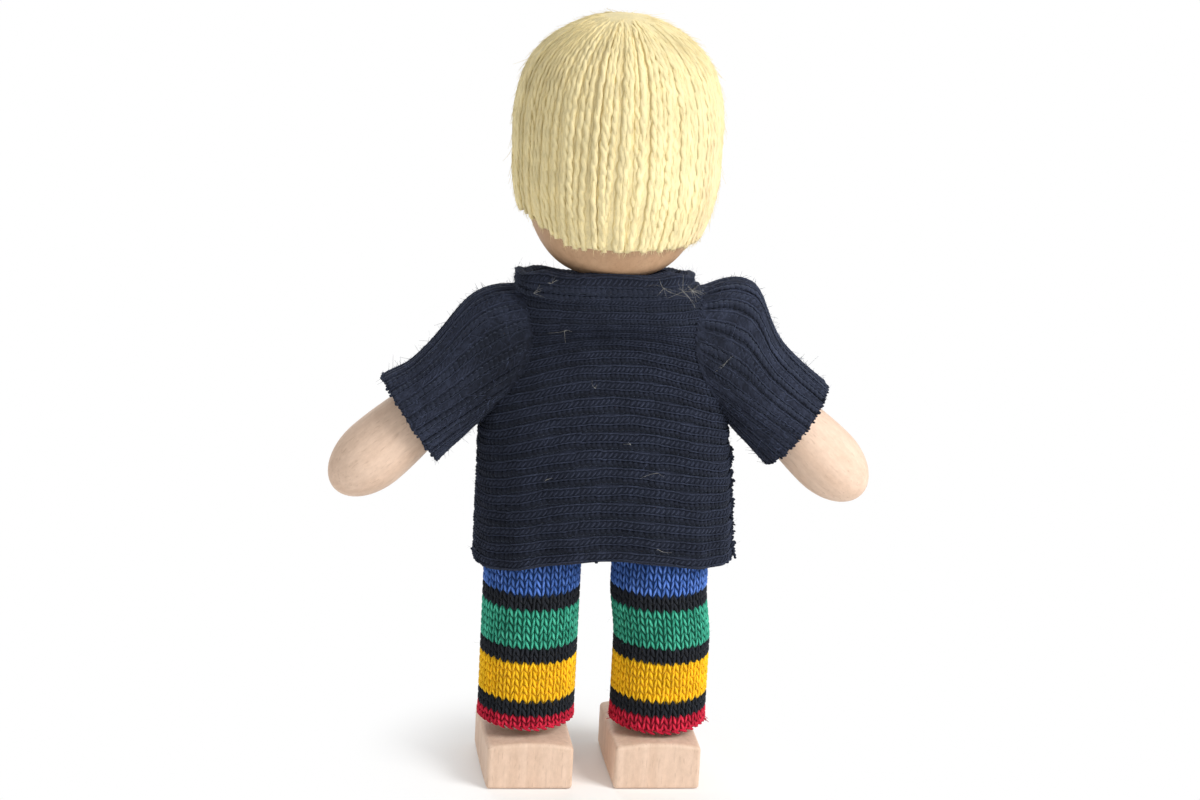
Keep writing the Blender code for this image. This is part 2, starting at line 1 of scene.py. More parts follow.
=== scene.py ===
# %% [markdown]
# # Dressing a miniature doll
# A little wooden doll stands with its back to us: a peg head under a yarn wig, a navy tunic of
# ribbed knitting, striped trousers and two block feet. Its plain solids come packed in a frame
# with working joints. This lesson puts the looks on them, one piece after another.
# Everything is in metres, +Z is up, the doll faces -Y and its left hand is on +X.

# %% The frame
import json
import math

import bmesh
import bpy
import numpy as np
from mathutils import Matrix, Vector


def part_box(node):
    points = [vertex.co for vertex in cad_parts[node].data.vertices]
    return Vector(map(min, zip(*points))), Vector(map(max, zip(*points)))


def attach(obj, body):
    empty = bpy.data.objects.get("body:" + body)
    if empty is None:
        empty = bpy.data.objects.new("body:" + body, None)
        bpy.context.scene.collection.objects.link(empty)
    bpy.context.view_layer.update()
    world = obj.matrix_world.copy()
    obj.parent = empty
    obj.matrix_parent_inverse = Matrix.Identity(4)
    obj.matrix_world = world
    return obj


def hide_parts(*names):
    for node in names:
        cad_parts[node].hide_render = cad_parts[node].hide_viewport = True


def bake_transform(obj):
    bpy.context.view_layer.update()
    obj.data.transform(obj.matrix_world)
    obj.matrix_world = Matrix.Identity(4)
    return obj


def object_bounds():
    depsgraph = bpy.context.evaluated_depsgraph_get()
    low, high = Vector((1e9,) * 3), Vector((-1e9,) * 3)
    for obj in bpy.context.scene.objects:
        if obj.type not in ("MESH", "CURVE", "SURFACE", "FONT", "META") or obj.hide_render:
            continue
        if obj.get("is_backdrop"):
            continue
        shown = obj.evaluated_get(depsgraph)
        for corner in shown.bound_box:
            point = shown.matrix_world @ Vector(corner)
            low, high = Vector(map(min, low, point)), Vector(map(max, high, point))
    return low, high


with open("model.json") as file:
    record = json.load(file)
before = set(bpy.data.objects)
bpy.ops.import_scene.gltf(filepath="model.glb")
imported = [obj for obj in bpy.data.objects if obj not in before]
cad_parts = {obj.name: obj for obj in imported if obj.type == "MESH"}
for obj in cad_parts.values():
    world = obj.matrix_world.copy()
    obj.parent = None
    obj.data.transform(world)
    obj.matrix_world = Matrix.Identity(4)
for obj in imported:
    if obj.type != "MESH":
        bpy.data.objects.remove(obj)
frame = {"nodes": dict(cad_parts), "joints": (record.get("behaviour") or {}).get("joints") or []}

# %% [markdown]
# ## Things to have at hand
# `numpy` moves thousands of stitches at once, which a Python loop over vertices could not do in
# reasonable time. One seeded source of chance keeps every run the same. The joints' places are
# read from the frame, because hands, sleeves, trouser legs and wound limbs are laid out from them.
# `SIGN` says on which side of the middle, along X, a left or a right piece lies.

MM = 0.001
SIGN = {"left": 1, "right": -1}
scene = bpy.context.scene
chance = np.random.default_rng(7)
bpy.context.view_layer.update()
joints = {joint["name"]: Vector(joint["pos_m"]) for joint in frame["joints"]}

# %% [markdown]
# ## The camera first
# A camera that is right from the start saves much tuning later. The photo was taken from behind
# the doll, a little above it and a little to its left, with a long lens. The camera also leans by
# three degrees, which is why the doll's head and feet don't line up with the picture's edges.

# %% Camera
DISTANCE, LENS = 0.440, 98.8
YAW, ELEVATION, LEAN = (math.radians(angle) for angle in (8.0, 15.4, 3.0))
target = Vector((0.65, 0, 52.5)) * MM

back = Vector((math.sin(YAW) * math.cos(ELEVATION), math.cos(YAW) * math.cos(ELEVATION), math.sin(ELEVATION)))
right = (-back).cross(Vector((0, 0, 1))).normalized()
up = right.cross(-back)
turned = Matrix((right * math.cos(LEAN) + up * math.sin(LEAN),
                 up * math.cos(LEAN) - right * math.sin(LEAN), back)).transposed()
camera = bpy.data.objects.new("camera", bpy.data.cameras.new("camera"))
camera.matrix_world = Matrix.Translation(target + back * DISTANCE) @ turned.to_4x4()
camera.data.lens, camera.data.sensor_width, camera.data.sensor_fit = LENS, 36, "HORIZONTAL"
camera.data.clip_start = 0.01
scene.collection.objects.link(camera)
scene.camera = camera
print("camera", round(DISTANCE / MM), "mm away")

# %% [markdown]
# ## Helpers for meshes
# A few small functions carry the whole lesson. `coords` and `place` read and write all vertices of
# a mesh. `points_of` joins three columns to points, and one number may stand for a whole column.
# `note` writes one value for each vertex, such as its yarn colour, where a material can read it.
# `evaluated` gives a mesh with its modifiers applied. `repeated` lets an Array modifier copy a small
# shape many times: the copies follow one another in the vertex list, so a vertex's number tells which
# copy it belongs to.

# %% Mesh helpers
def coords(mesh):
    flat = np.empty(len(mesh.vertices) * 3)
    mesh.vertices.foreach_get("co", flat)
    return flat.reshape(-1, 3)


def place(mesh, points):
    mesh.vertices.foreach_set("co", np.asarray(points, np.float32).ravel())
    mesh.update()


def points_of(x, y, z):
    return np.stack(np.broadcast_arrays(x, y, z), 1)


def note(mesh, name, values):
    values = np.asarray(values, np.float32)
    kind, field = ("FLOAT", "value") if values.ndim == 1 else ("FLOAT_VECTOR", "vector")
    mesh.attributes.new(name, kind, "POINT").data.foreach_set(field, values.ravel())


def as_mesh(shape):
    mesh = bpy.data.meshes.new("mesh")
    shape.to_mesh(mesh)
    shape.free()
    return mesh


def joined(*meshes):
    shape = bmesh.new()
    for mesh in meshes:
        shape.from_mesh(mesh)
    return as_mesh(shape)


def evaluated(made):
    bpy.context.view_layer.update()
    return bpy.data.meshes.new_from_object(made.evaluated_get(bpy.context.evaluated_depsgraph_get()))


def repeated(shape, count):
    carrier = bpy.data.objects.new("carrier", as_mesh(shape))
    scene.collection.objects.link(carrier)
    copies = carrier.modifiers.new("copies", "ARRAY")
    copies.count = count
    copies.use_relative_offset = False
    mesh = evaluated(carrier)
    which = np.arange(len(mesh.vertices)) // len(carrier.data.vertices)
    bpy.data.objects.remove(carrier)
    return mesh, coords(mesh), which


def piece(name, mesh, material):
    mesh.name = name
    mesh.materials.append(material)
    mesh.shade_smooth()
    made = bpy.data.objects.new(name, mesh)
    scene.collection.objects.link(made)
    print(f"{name}: {len(mesh.polygons)} faces")
    return made

# %% [markdown]
# ## Helpers for materials
# Every material starts from Blender's Principled shader. `node` makes one node and sets its
# inputs, and a tuple of (node, output) links instead of setting. This keeps a material readable
# as a short list from the pattern down to the shader. Two noises come up again and again: `clouds`
# is alike in all directions, and `streaks` is drawn out along a direction that a piece has noted.

# %% Material helpers
def material(name):
    made = bpy.data.materials.new(name)
    made.use_nodes = True
    return made, made.node_tree


def feed(tree, socket, value):
    if isinstance(value, tuple) and isinstance(value[0], bpy.types.Node):
        tree.links.new(value[0].outputs[value[1]], socket)
    else:
        socket.default_value = value


def node(tree, kind, settings=None, **inputs):
    made = tree.nodes.new("ShaderNode" + kind)
    for key, value in (settings or {}).items():
        setattr(made, key, value)
    for key, value in inputs.items():
        feed(tree, made.inputs[key.replace("_", " ")], value)
    return made


def ramp(tree, source, stops):
    made = node(tree, "ValToRGB", Fac=source)
    made.color_ramp.elements.remove(made.color_ramp.elements[1])
    for number, (where, colour) in enumerate(stops):
        stop = made.color_ramp.elements[0] if number == 0 else made.color_ramp.elements.new(where)
        stop.position = where
        stop.color = (*np.broadcast_to(colour, 3), 1)
    return made, "Color"


def mixed(tree, how, amount, first, second):
    made = node(tree, "Mix", {"data_type": "RGBA", "blend_type": how}, Factor=amount)
    feed(tree, made.inputs[6], first)
    feed(tree, made.inputs[7], second)
    return made, 2


def times(tree, colour, *factors):
    for factor in factors:
        colour = mixed(tree, "MULTIPLY", 1.0, colour, factor)
    return colour


def clouds(tree, scale, detail):
    spot = node(tree, "TexCoord")
    return node(tree, "TexNoise", Vector=(spot, "Object"), Scale=scale, Detail=detail), "Fac"


def streaks(tree, attribute, stretch, **inputs):
    own = node(tree, "Attribute", {"attribute_name": attribute})
    drawn = node(tree, "Mapping", Vector=(own, "Vector"), Scale=stretch)
    return node(tree, "TexNoise", Vector=(drawn, "Vector"), Scale=1.0, **inputs), "Fac"


def shade(tree, **inputs):
    shader = tree.nodes["Principled BSDF"]
    for key, value in inputs.items():
        feed(tree, shader.inputs[key.replace("_", " ")], value)

# %% [markdown]
# ## Floor and light
# A pale floor catches a soft shadow. The key light stands high on the camera's right and is as
# wide as a window, so shadows have soft edges. A weaker one fills the left, and a third lights the
# front for other views. The world is a plain light grey for the object and white for the camera, as a
# photographer's paper backdrop looks: `seen_straight` tells the camera's rays from the light that
# falls on the doll, and `whitened` shows them white.

# %% Stage
def area_light(name, where, size, power):
    lamp = bpy.data.lights.new(name, "AREA")
    lamp.size = size
    lamp.energy = power
    made = bpy.data.objects.new(name, lamp)
    made.location = where
    made.rotation_euler = (target - Vector(where)).to_track_quat("-Z", "Y").to_euler()
    scene.collection.objects.link(made)


def seen_straight(tree):
    rays = node(tree, "LightPath")
    seen = 0.0
    for kind in ("Is Camera Ray", "Is Glossy Ray", "Is Transmission Ray"):
        either = node(tree, "Math", {"operation": "MAXIMUM"})
        feed(tree, either.inputs[0], (rays, kind))
        feed(tree, either.inputs[1], seen)
        seen = (either, 0)
    return seen


def whitened(tree, amount, own, white, output):
    both = node(tree, "MixShader", Fac=amount)
    feed(tree, both.inputs[1], (own, 0))
    feed(tree, both.inputs[2], (white, 0))
    feed(tree, tree.nodes[output].inputs["Surface"], (both, 0))


area_light("key", (-0.36, 0.30, 0.36), 0.28, 2.9)
area_light("fill", (0.40, 0.30, 0.22), 0.30, 0.25)
area_light("front", (0.05, -0.45, 0.30), 0.35, 0.9)

world = bpy.data.worlds.new("studio")
world.use_nodes = True
scene.world = world
tree = world.node_tree
glow = tree.nodes["Background"]
feed(tree, glow.inputs["Color"], (1.0, 0.99, 0.97, 1))
feed(tree, glow.inputs["Strength"], 0.44)
whitened(tree, seen_straight(tree), glow, node(tree, "Background", Color=(1, 1, 1, 1)), "World Output")

shape = bmesh.new()
bmesh.ops.create_grid(shape, x_segments=1, y_segments=1, size=3.0)
bmesh.ops.translate(shape, verts=shape.verts, vec=(0, 0, -0.02 * MM))
floor = bpy.data.objects.new("floor", as_mesh(shape))
scene.collection.objects.link(floor)
floor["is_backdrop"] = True
scene.view_settings.view_transform = "Standard"
print("lamps", [lamp.name for lamp in bpy.data.lights])

# %% [markdown]
# ## Floor paper
# Round the feet the floor is real paper that catches the shadow. Farther out it turns, for the
# camera only, into plain white, as an overexposed backdrop does. Other rays still see the paper,
# so the doll gets no extra light from it. A faint mottling keeps the paper from being flat.

# %% Floor material
paper_look, tree = material("paper")
shade(tree, Base_Color=ramp(tree, clouds(tree, 60.0, 3.0), [(0.3, 0.93), (0.7, 0.96)]), Roughness=0.9)
away = node(tree, "VectorMath", {"operation": "LENGTH"}, Vector=(node(tree, "TexCoord"), "Object"))
fade = node(tree, "MapRange", {"interpolation_type": "SMOOTHSTEP"}, Value=(away, "Value"),
            From_Min=10 * MM, From_Max=34 * MM)
turns_white = node(tree, "Math", {"operation": "MULTIPLY"})
feed(tree, turns_white.inputs[0], (fade, "Result"))
feed(tree, turns_white.inputs[1], seen_straight(tree))
whitened(tree, (turns_white, 0), tree.nodes["Principled BSDF"], node(tree, "Emission"), "Material Output")
floor.data.materials.append(paper_look)

# %% [markdown]
# ## Wood
# Hands, feet and head look like beech. Its grain is long streaks with short darker flecks and a soft
# mottling, so the noise is drawn out along the grain. The piece's own coordinates are noted as `grain` while
# its axis still lies along Z, and the material reads them there: the streaks then follow a hand
# that slants, and stay on it when the arm moves.

# %% Wood material
def wood(name, light, dark, fleck):
    made, tree = material(name)
    fine = streaks(tree, "grain", (900, 900, 55), Detail=5.0, Roughness=0.6)
    rings = streaks(tree, "grain", (330, 150, 9), Detail=2.0, Distortion=0.6)
    dots = streaks(tree, "grain", (3800, 3800, 620), Detail=1.0)
    ripple = streaks(tree, "grain", (1500, 1500, 800), Detail=4.0, Roughness=0.7)
    body = times(tree, ramp(tree, rings, [(0.32, dark), (0.5, light), (0.68, dark)]),
                 ramp(tree, fine, [(0.3, (0.92, 0.89, 0.86)), (0.62, (1.02, 1.01, 1.0))]),
                 ramp(tree, ripple, [(0.3, (0.91, 0.89, 0.87)), (0.7, 1.05)]))
    flecks = ramp(tree, dots, [(0.63, 0), (0.72, 0.4)])
    bump = node(tree, "Bump", Height=fine, Strength=0.25, Distance=0.06 * MM)
    shade(tree, Base_Color=mixed(tree, "MIX", flecks, body, (*fleck, 1)), Roughness=0.58,
          Normal=(bump, "Normal"), Specular_IOR_Level=0.35)
    return made


beech = wood("beech", (0.78, 0.595, 0.47), (0.73, 0.54, 0.415), (0.50, 0.33, 0.23))
# The head's beech is a darker copy of the same beech, as painted shade under the wig.
head_wood = wood("head_beech_shaded", (0.56, 0.36, 0.22), (0.53, 0.33, 0.195), (0.36, 0.21, 0.12))
plain_wood = wood("hidden_beech", (0.72, 0.54, 0.36), (0.66, 0.48, 0.31), (0.45, 0.30, 0.18))
for name in ("torso_block", "neck_dowel"):
    mesh = frame["nodes"][name].data
    mesh.materials.clear()
    mesh.materials.append(plain_wood)
    note(mesh, "grain", coords(mesh))

# %% [markdown]
# ## Feet
# A foot is a sawn block with a slightly domed top and softened edges. A cube gets enough cuts for
# the dome, a little arithmetic swells its sides and bends its top, and a Bevel modifier breaks the
# corners. The block's sizes come from the frame's boxes, so it stands exactly where the solid stands.

# %% Feet
FOOT_SWELL, FOOT_CROWN, FOOT_EDGE = 0.1 * MM, 0.6 * MM, 0.6 * MM
SHARP = math.radians(50)

for side, grain_shift in (("left", 0.03), ("right", 0.0)):
    low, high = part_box(f"{side}_foot")
    size = high - low
    shape = bmesh.new()
    bmesh.ops.create_cube(shape, size=1.0)
    bmesh.ops.scale(shape, verts=shape.verts, vec=(size.x - 2 * FOOT_SWELL, size.y, size.z))
    bmesh.ops.subdivide_edges(shape, edges=shape.edges, cuts=11, use_grid_fill=True)
    mesh = as_mesh(shape)
    block = coords(mesh)
    across = block[:, 0] / (size.x / 2 - FOOT_SWELL)
    along = block[:, 1] / (size.y / 2)
    block[:, 0] += across * FOOT_SWELL * (1 - along ** 2)
    block[:, 2] -= (block[:, 2] / size.z + 0.5) * FOOT_CROWN * across ** 2
    place(mesh, block + np.array((low + high) / 2))
    foot = piece(f"{side}_foot_wood", mesh, beech)
    edges = foot.modifiers.new("edges", "BEVEL")
    edges.width, edges.segments, edges.limit_method = FOOT_EDGE, 4, "ANGLE"
    edges.angle_limit = SHARP
    mesh = evaluated(foot)
    foot.modifiers.clear()
    foot.data = mesh
    mesh.set_sharp_from_angle(angle=SHARP)
    note(mesh, "grain", coords(mesh) + grain_shift)
    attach(foot, f"{side}_foot")
    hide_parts(f"{side}_foot")

# %% [markdown]
# ## Hands
# A hand is a short dowel, rounded like an egg at its free end. On a lathe one would cut its
# profile while it spins, and `spin` does the same: the profile goes round the Z axis once. The
# result is then laid along the arm, which slopes 43 degrees below the horizontal.

# %% Lathe and hands
def lathe(profile, steps=56):
    shape = bmesh.new()
    points = [shape.verts.new((radius, 0, height)) for radius, height in profile]
    lines = [shape.edges.new(pair) for pair in zip(points, points[1:])]
    bmesh.ops.spin(shape, geom=points + lines, cent=(0, 0, 0), axis=(0, 0, 1), dvec=(0, 0, 0),
                   angle=math.tau, steps=steps, use_merge=True)
    bmesh.ops.remove_doubles(shape, verts=shape.verts, dist=0.002 * MM)
    bmesh.ops.recalc_face_normals(shape, faces=shape.faces)
    return shape


SLOPE = math.radians(43)
ARM_LINE = {side: Vector((sign * math.cos(SLOPE), 0, -math.sin(SLOPE))) for side, sign in SIGN.items()}
HAND_START, HAND_END, HAND_RADIUS, TIP_ROUND, WRIST = (size * MM for size in (17.4, 33.2, 4.7, 7.4, 4.0))
quarter = np.linspace(0, math.pi / 2, 17)
profile = [(HAND_RADIUS * math.sin(a), HAND_END - TIP_ROUND * (1 - math.cos(a))) for a in quarter]
for share in np.linspace(0, 1, 13)[1:]:
    profile.append((HAND_RADIUS - (HAND_RADIUS - WRIST) * share ** 1.8,
                    HAND_END - TIP_ROUND + (HAND_START - HAND_END + TIP_ROUND) * share))
profile.append((0, HAND_START))
for side, grain_shift in (("left", 0.05), ("right", 0.11)):
    mesh = as_mesh(lathe(profile))
    note(mesh, "grain", coords(mesh) + grain_shift)
    turned = ARM_LINE[side].to_track_quat("Z", "Y").to_matrix().to_4x4()
    mesh.transform(Matrix.Translation(joints[f"{side}_arm_raise"]) @ turned)
    hand = piece(f"{side}_hand_wood", mesh, beech)
    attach(hand, f"{side}_arm")
    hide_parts(f"{side}_hand")

# %% [markdown]
# ## Head
# The head is one turned bead: a round jaw on a small flat, a short straight cheek and a dome.
# The same profile will carry the wig, so `head_line` can grow it by a distance.

# %% Head
low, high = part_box("head")
HEAD_Z, HEAD_R = low.z, (high.x - low.x) / 2
JAW, CHEEK, DOME, FLAT = 14.0 * MM, 4.6 * MM, 13.0 * MM, 4.0 * MM


def head_line(grow, lift, count=24):
    quarter = np.linspace(0, math.pi / 2, count)
    radius = HEAD_R + grow
    dome_r, dome_z = radius * np.sin(quarter), HEAD_Z + JAW + CHEEK + (DOME + grow) * np.cos(quarter)
    sweep = np.linspace(0, math.asin(min((JAW - lift) / (JAW + grow), 1)), count)
    jaw_r = FLAT + (radius - FLAT) * np.cos(sweep)
    jaw_z = HEAD_Z + JAW - (JAW + grow) * np.sin(sweep)
    return np.concatenate([dome_r, jaw_r]), np.concatenate([dome_z, jaw_z])


radii, heights = head_line(0, 0)
mesh = as_mesh(lathe(list(zip(radii, heights)) + [(0, HEAD_Z)], steps=72))
note(mesh, "grain", coords(mesh))
head = piece("head_wood", mesh, head_wood)
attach(head, "head")
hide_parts("head")

# %% [markdown]
# ## Yarn
# Wool has no gloss and a pale halo of fibres. The colour comes from the `yarn` attribute: the dye,
# with any light or shade painted into it. So one material serves every colour. The `lay` attribute
# holds each spot's place within its own yarn, with Z along the yarn, so a noise that is drawn out along
# Z looks like spun fibres. A second, cloudy noise makes the dye uneven, and a little sheen stands for the
# halo.

# %% Yarn material
def yarn_look(name, sheen, halo, grit=0.2):
    made, tree = material(name)
    dye = node(tree, "Attribute", {"attribute_name": "yarn"})
    spun = streaks(tree, "lay", (6200, 6200, 1100), Detail=3.0, Roughness=0.65)
    uneven = ramp(tree, clouds(tree, 420.0, 2.0), [(0.3, 0.96 - 0.6 * grit), (0.7, 1.04 + 0.2 * grit)])
    fleece = ramp(tree, spun, [(0.32, 0.95 - grit), (0.68, 0.95 + grit)])
    bump = node(tree, "Bump", Height=spun, Strength=0.5, Distance=0.08 * MM)
    shade(tree, Base_Color=times(tree, (dye, "Color"), uneven, fleece), Roughness=0.92,
          Specular_IOR_Level=0.15, Normal=(bump, "Normal"), Sheen_Weight=sheen, Sheen_Roughness=0.45,
          Sheen_Tint=(*halo, 1))
    return made


wig_yarn = yarn_look("wig_yarn", 0.12, (1.0, 0.95, 0.75), grit=0.10)
navy_yarn = yarn_look("navy_yarn", 0.14, (0.45, 0.55, 0.80), grit=0.35)
stripe_yarn = yarn_look("stripe_yarn", 0.10, (0.9, 0.9, 0.9))
cotton_yarn = yarn_look("cotton_yarn", 0.1, (1.0, 1.0, 1.0))
elastic_yarn = yarn_look("elastic_yarn", 0.05, (0.6, 0.6, 0.7))


# Writes the dye, times the tone and any painted light or shade in `shares`, as the `yarn` attribute.
def dye_and_shade(mesh, colour, shares=None):
    colour = np.broadcast_to(np.asarray(colour, float), (len(mesh.vertices), 3))
    note(mesh, "yarn", colour if shares is None else colour * np.asarray(shares)[:, None])
    if "lay" not in mesh.attributes:
        note(mesh, "lay", coords(mesh))

# %% [markdown]
# ## Where the wig's yarn lies
# The wig is yarn glued down from one point of the crown: it runs over the dome and hangs to an
# even cut. A strand therefore follows the head's own profile, a little outside it. `wig_path`
# walks down that profile by length, and gives the radius, the height and the outward direction.

# %% The wig's path
def eased(value):
    value = np.clip(value, 0, 1)
    return value * value * (3 - 2 * value)


WIG_LIFT = 4.9 * MM
WIG_HEM = HEAD_Z + WIG_LIFT
line_r, line_z = head_line(0.3 * MM, WIG_LIFT, 80)
fullness = (0.50 + 0.28 * eased((line_z - WIG_HEM) / (JAW + CHEEK - WIG_LIFT))) * MM
fullness += 0.9 * MM * np.exp(-((line_z - HEAD_Z - 28 * MM) / (4.5 * MM)) ** 2)
crown = np.clip((line_z - WIG_HEM) / (JAW + CHEEK + DOME - WIG_LIFT), 0, 1) ** 2
line_r = line_r * (1 + fullness / HEAD_R)
line_z = line_z + 2.05 * MM * crown
line_s = np.concatenate([[0], np.cumsum(np.hypot(np.diff(line_r), np.diff(line_z)))])
WIG_LENGTH = line_s[-1]


def wig_path(distance):
    step = 0.2 * MM
    radius, height = (np.interp(distance, line_s, line) for line in (line_r, line_z))
    ahead, fall = (np.interp(distance + step, line_s, line) - np.interp(distance - step, line_s, line)
                   for line in (line_r, line_z))
    size = np.hypot(ahead, fall)
    return radius, height, -fall / size, ahead / size


print("strand length", round(WIG_LENGTH / MM, 1), "mm")

# %% [markdown]
# ## The face opening
# The wig leaves an oval open over the face. A strand that would cross it stops at its upper edge,
# as a fringe. Over the doll's left cheek the yarn was cut shorter. Both shapes are the solid's own.

# %% Where a strand ends
FACE_Z, FACE_WIDE, FACE_HIGH = HEAD_Z + 12.6 * MM, 9.3 * MM, 10.8 * MM
NOTCH_WIDE, NOTCH_HIGH = 8.2 * MM, 3.5 * MM


def in_face(x, y, z):
    return (y < 0) & ((x / FACE_WIDE) ** 2 + ((z - FACE_Z) / FACE_HIGH) ** 2 < 1)


def in_notch(x, y, z):
    return (x > 0) & ((y / NOTCH_WIDE) ** 2 + ((z - WIG_HEM) / NOTCH_HIGH) ** 2 < 1)


def strand_end(angle):
    distance = np.linspace(0, WIG_LENGTH, 240)
    radius, height, _, _ = wig_path(distance)
    x, y = radius * np.cos(angle), radius * np.sin(angle)
    hidden = in_face(x, y, height) | in_notch(x, y, height)
    return distance[np.argmax(hidden)] if hidden.any() else WIG_LENGTH

# %% [markdown]
# ## Two-ply yarn
# Each strand is two plies twisted round each other. One ply starts as a straight five-sided tube,
# cut across many times, and is then wound into a helix while it is laid along the path. The plies
# are thicker than the helix they follow, so they sink into each other and leave only a soft slanting
# groove. No two strands lie, twist, crimp or swell alike, and neighbours form locks that swing and
# stand off together. Where strands crowd at the crown they are thinned, because real yarn is squeezed
# there. On the doll's right the photo's wig looks flatter and paler than on its left: `leftward`, from
# -1 to 1, sets how flat a strand lies, and part of that shade is simply painted into the dye.

# %% Strands of the wig
STRANDS, PLY, WIND, TWIST = 94, 0.45 * MM, 0.13 * MM, 3.6 * MM


def tube(sides, cuts, taper=1.0):
    shape = bmesh.new()
    bmesh.ops.create_cone(shape, cap_ends=True, segments=sides, radius1=1, radius2=taper, depth=1)
    bmesh.ops.translate(shape, verts=shape.verts, vec=(0, 0, 0.5))
    long = [edge for edge in shape.edges if abs(edge.verts[0].co.z - edge.verts[1].co.z) > 0.5]
    bmesh.ops.subdivide_edges(shape, edges=long, cuts=cuts)
    return shape


def varied(low, high):
    return chance.uniform(low, high, STRANDS)[strand]


def by_lock(low, high):
    return chance.uniform(low, high, locks)[lock[strand]]


mesh, local, which = repeated(tube(5, 80), STRANDS * 2)
strand, ply = which // 2, which % 2
angles = math.tau * (np.arange(STRANDS) + chance.uniform(-0.28, 0.28, STRANDS)) / STRANDS
lock = np.cumsum(chance.uniform(0, 1, STRANDS) < 0.3)
locks = lock[-1] + 1
middles = np.array([angles[lock == number].mean() if (lock == number).any() else 0
                    for number in range(locks)])
angles += 0.07 * (middles[lock] - angles)
ends = np.array([strand_end(angle) for angle in angles]) - chance.uniform(0, 0.7 * MM, STRANDS)
starts = np.array((0.9, 3.4, 2.0, 5.0))[np.arange(STRANDS) % 4] * MM + chance.uniform(0, 1.0 * MM, STRANDS)

distance = starts[strand] + (ends - starts)[strand] * local[:, 2]
radius, height, out_r, out_z = wig_path(distance)
squeeze = np.clip(radius * math.tau / STRANDS / (0.95 * MM), 0.50, 1.0) * varied(0.90, 1.12)
dive = 0.14 * MM * (1 - eased(local[:, 2] * 12))
hangs = np.clip(distance / WIG_LENGTH, 0, 1)
drift = varied(-0.040, 0.040) * hangs + 0.020 * hangs * np.sin(distance / (6 * MM) + varied(0, math.tau))
drift += by_lock(-0.030, 0.030) * hangs ** 2
leftward = np.cos(angles[strand])
proud = by_lock(0.02 * MM, 0.20 * MM) * eased(3 * hangs) * (1 + 0.75 * leftward)
angle = angles[strand] + drift
loose = 1 + 0.30 * np.sin(distance / varied(1.6 * MM, 3.4 * MM) + varied(0, math.tau))
wind = math.tau * distance / (TWIST * varied(0.82, 1.25)) + varied(0, math.tau) + math.pi * ply
crimp = 0.07 * MM * np.sin(math.tau * distance / varied(2.2 * MM, 3.6 * MM) + varied(0, math.tau))
depth = squeeze * (local[:, 0] * PLY + WIND * loose * np.cos(wind))
nudge = varied(-0.06 * MM, 0.10 * MM)
wide = (1.06 - 0.14 * leftward) * squeeze
off_side = wide * (WIND * loose * np.sin(wind) - local[:, 1] * PLY + crimp)
deep = eased(0.6 - 1.2 * (0.58 * depth + nudge) / (PLY + WIND)) * (0.75 + 0.25 * leftward)
lie = 0.53 + 0.20 * leftward
off_out = lie * depth + nudge + (0.58 - lie) * 0.30 * MM + proud - dive
reach = radius + off_out * out_r
points = points_of(reach * np.cos(angle) - off_side * np.sin(angle),
                   reach * np.sin(angle) + off_side * np.cos(angle), height + off_out * out_z)
place(mesh, points)
STRAW = np.array((0.91, 0.78, 0.445))
SHADED = np.array((0.90, 0.72, 0.31))
PINK = np.array((0.92, 0.67, 0.43))
stained = 0.45 * np.exp(-((angles[strand] - 2.6) / 0.2) ** 2) * eased((hangs - 0.45) / 0.25)
note(mesh, "lay", points_of(local[:, 0] * PLY + which * 2 * MM, local[:, 1] * PLY, distance))
# Painted shade: `SHADED` colours the grooves between plies (`deep`), darker still on the doll's left, and
# lock tones vary at random and more on the doll's left as painted shade between locks. The crown and the
# lower ends are made a little lighter.
wool = (STRAW + (SHADED - STRAW) * deep[:, None]) * varied(0.96, 1.04)[:, None]
wool *= (0.98 + 0.09 * (1 - eased(hangs / 0.4)) + 0.04 * np.minimum(leftward, 0)
         - 0.45 * deep * np.maximum(leftward, 0))[:, None]
tone = 0.99 + by_lock(-1, 1) * (0.03 + 0.09 * np.maximum(leftward, 0))
wool *= (tone * (1 + 0.06 * eased((hangs - 0.6) / 0.3)))[:, None]
dye_and_shade(mesh, wool + (PINK - wool) * stained[:, None])

# %% [markdown]
# ## Loose fibres
# A halo of stray fibres is what tells wool from plastic. Each fibre is a three-sided tube, thinner
# at its tip, that leaves the cloth in one direction and curls off in another. `along_cloth` takes
# the outward part from a direction, so that most fibres lie on the cloth instead of bristling.

# %% Fibres
def across_of(heading, other):
    side = np.cross(heading, other)
    return side / np.maximum(np.linalg.norm(side, axis=1, keepdims=True), 1e-9)


def fibres(roots, headings, curls, lengths, thickness, cuts=4):
    mesh, local, which = repeated(tube(3, cuts, 0.4), len(roots))
    along = (lengths[which] * local[:, 2])[:, None]
    centre = roots[which] + headings[which] * along + curls[which] * along * local[:, 2:3]
    first = across_of(headings, curls)
    second = across_of(headings, first)
    place(mesh, centre + thickness * (local[:, 0:1] * first[which] + local[:, 1:2] * second[which]))
    return mesh


def along_cloth(directions, normals):
    return directions - normals * (directions * normals).sum(1, keepdims=True)


def stray(mesh, count, length, thickness, lift=0.6):
    chosen = chance.integers(0, len(mesh.vertices), count)
    normals = np.array([mesh.vertices[int(i)].normal for i in chosen])
    spread = chance.normal(0, 1, (count, 3))
    spread /= np.linalg.norm(spread, axis=1, keepdims=True)
    heading = normals * lift + along_cloth(spread, normals) * 0.7
    curl = along_cloth(chance.normal(0, 0.7, (count, 3)), normals)
    return fibres(coords(mesh)[chosen], heading, curl, chance.uniform(0.4, 1.0, count) * length, thickness)

# %% [markdown]
# ## The cap under the wig
# Between strands one would see through to the wood, so the yarn sits on a thin cap of the same
# colour. It is the same profile, turned on the lathe, opened over the face and given a thickness. It
# lies a little high, so that the grooves between strands stay shallow. The strands also get a fleece
# of short fibres along them, as all spun wool has, and cut ends along the hem.

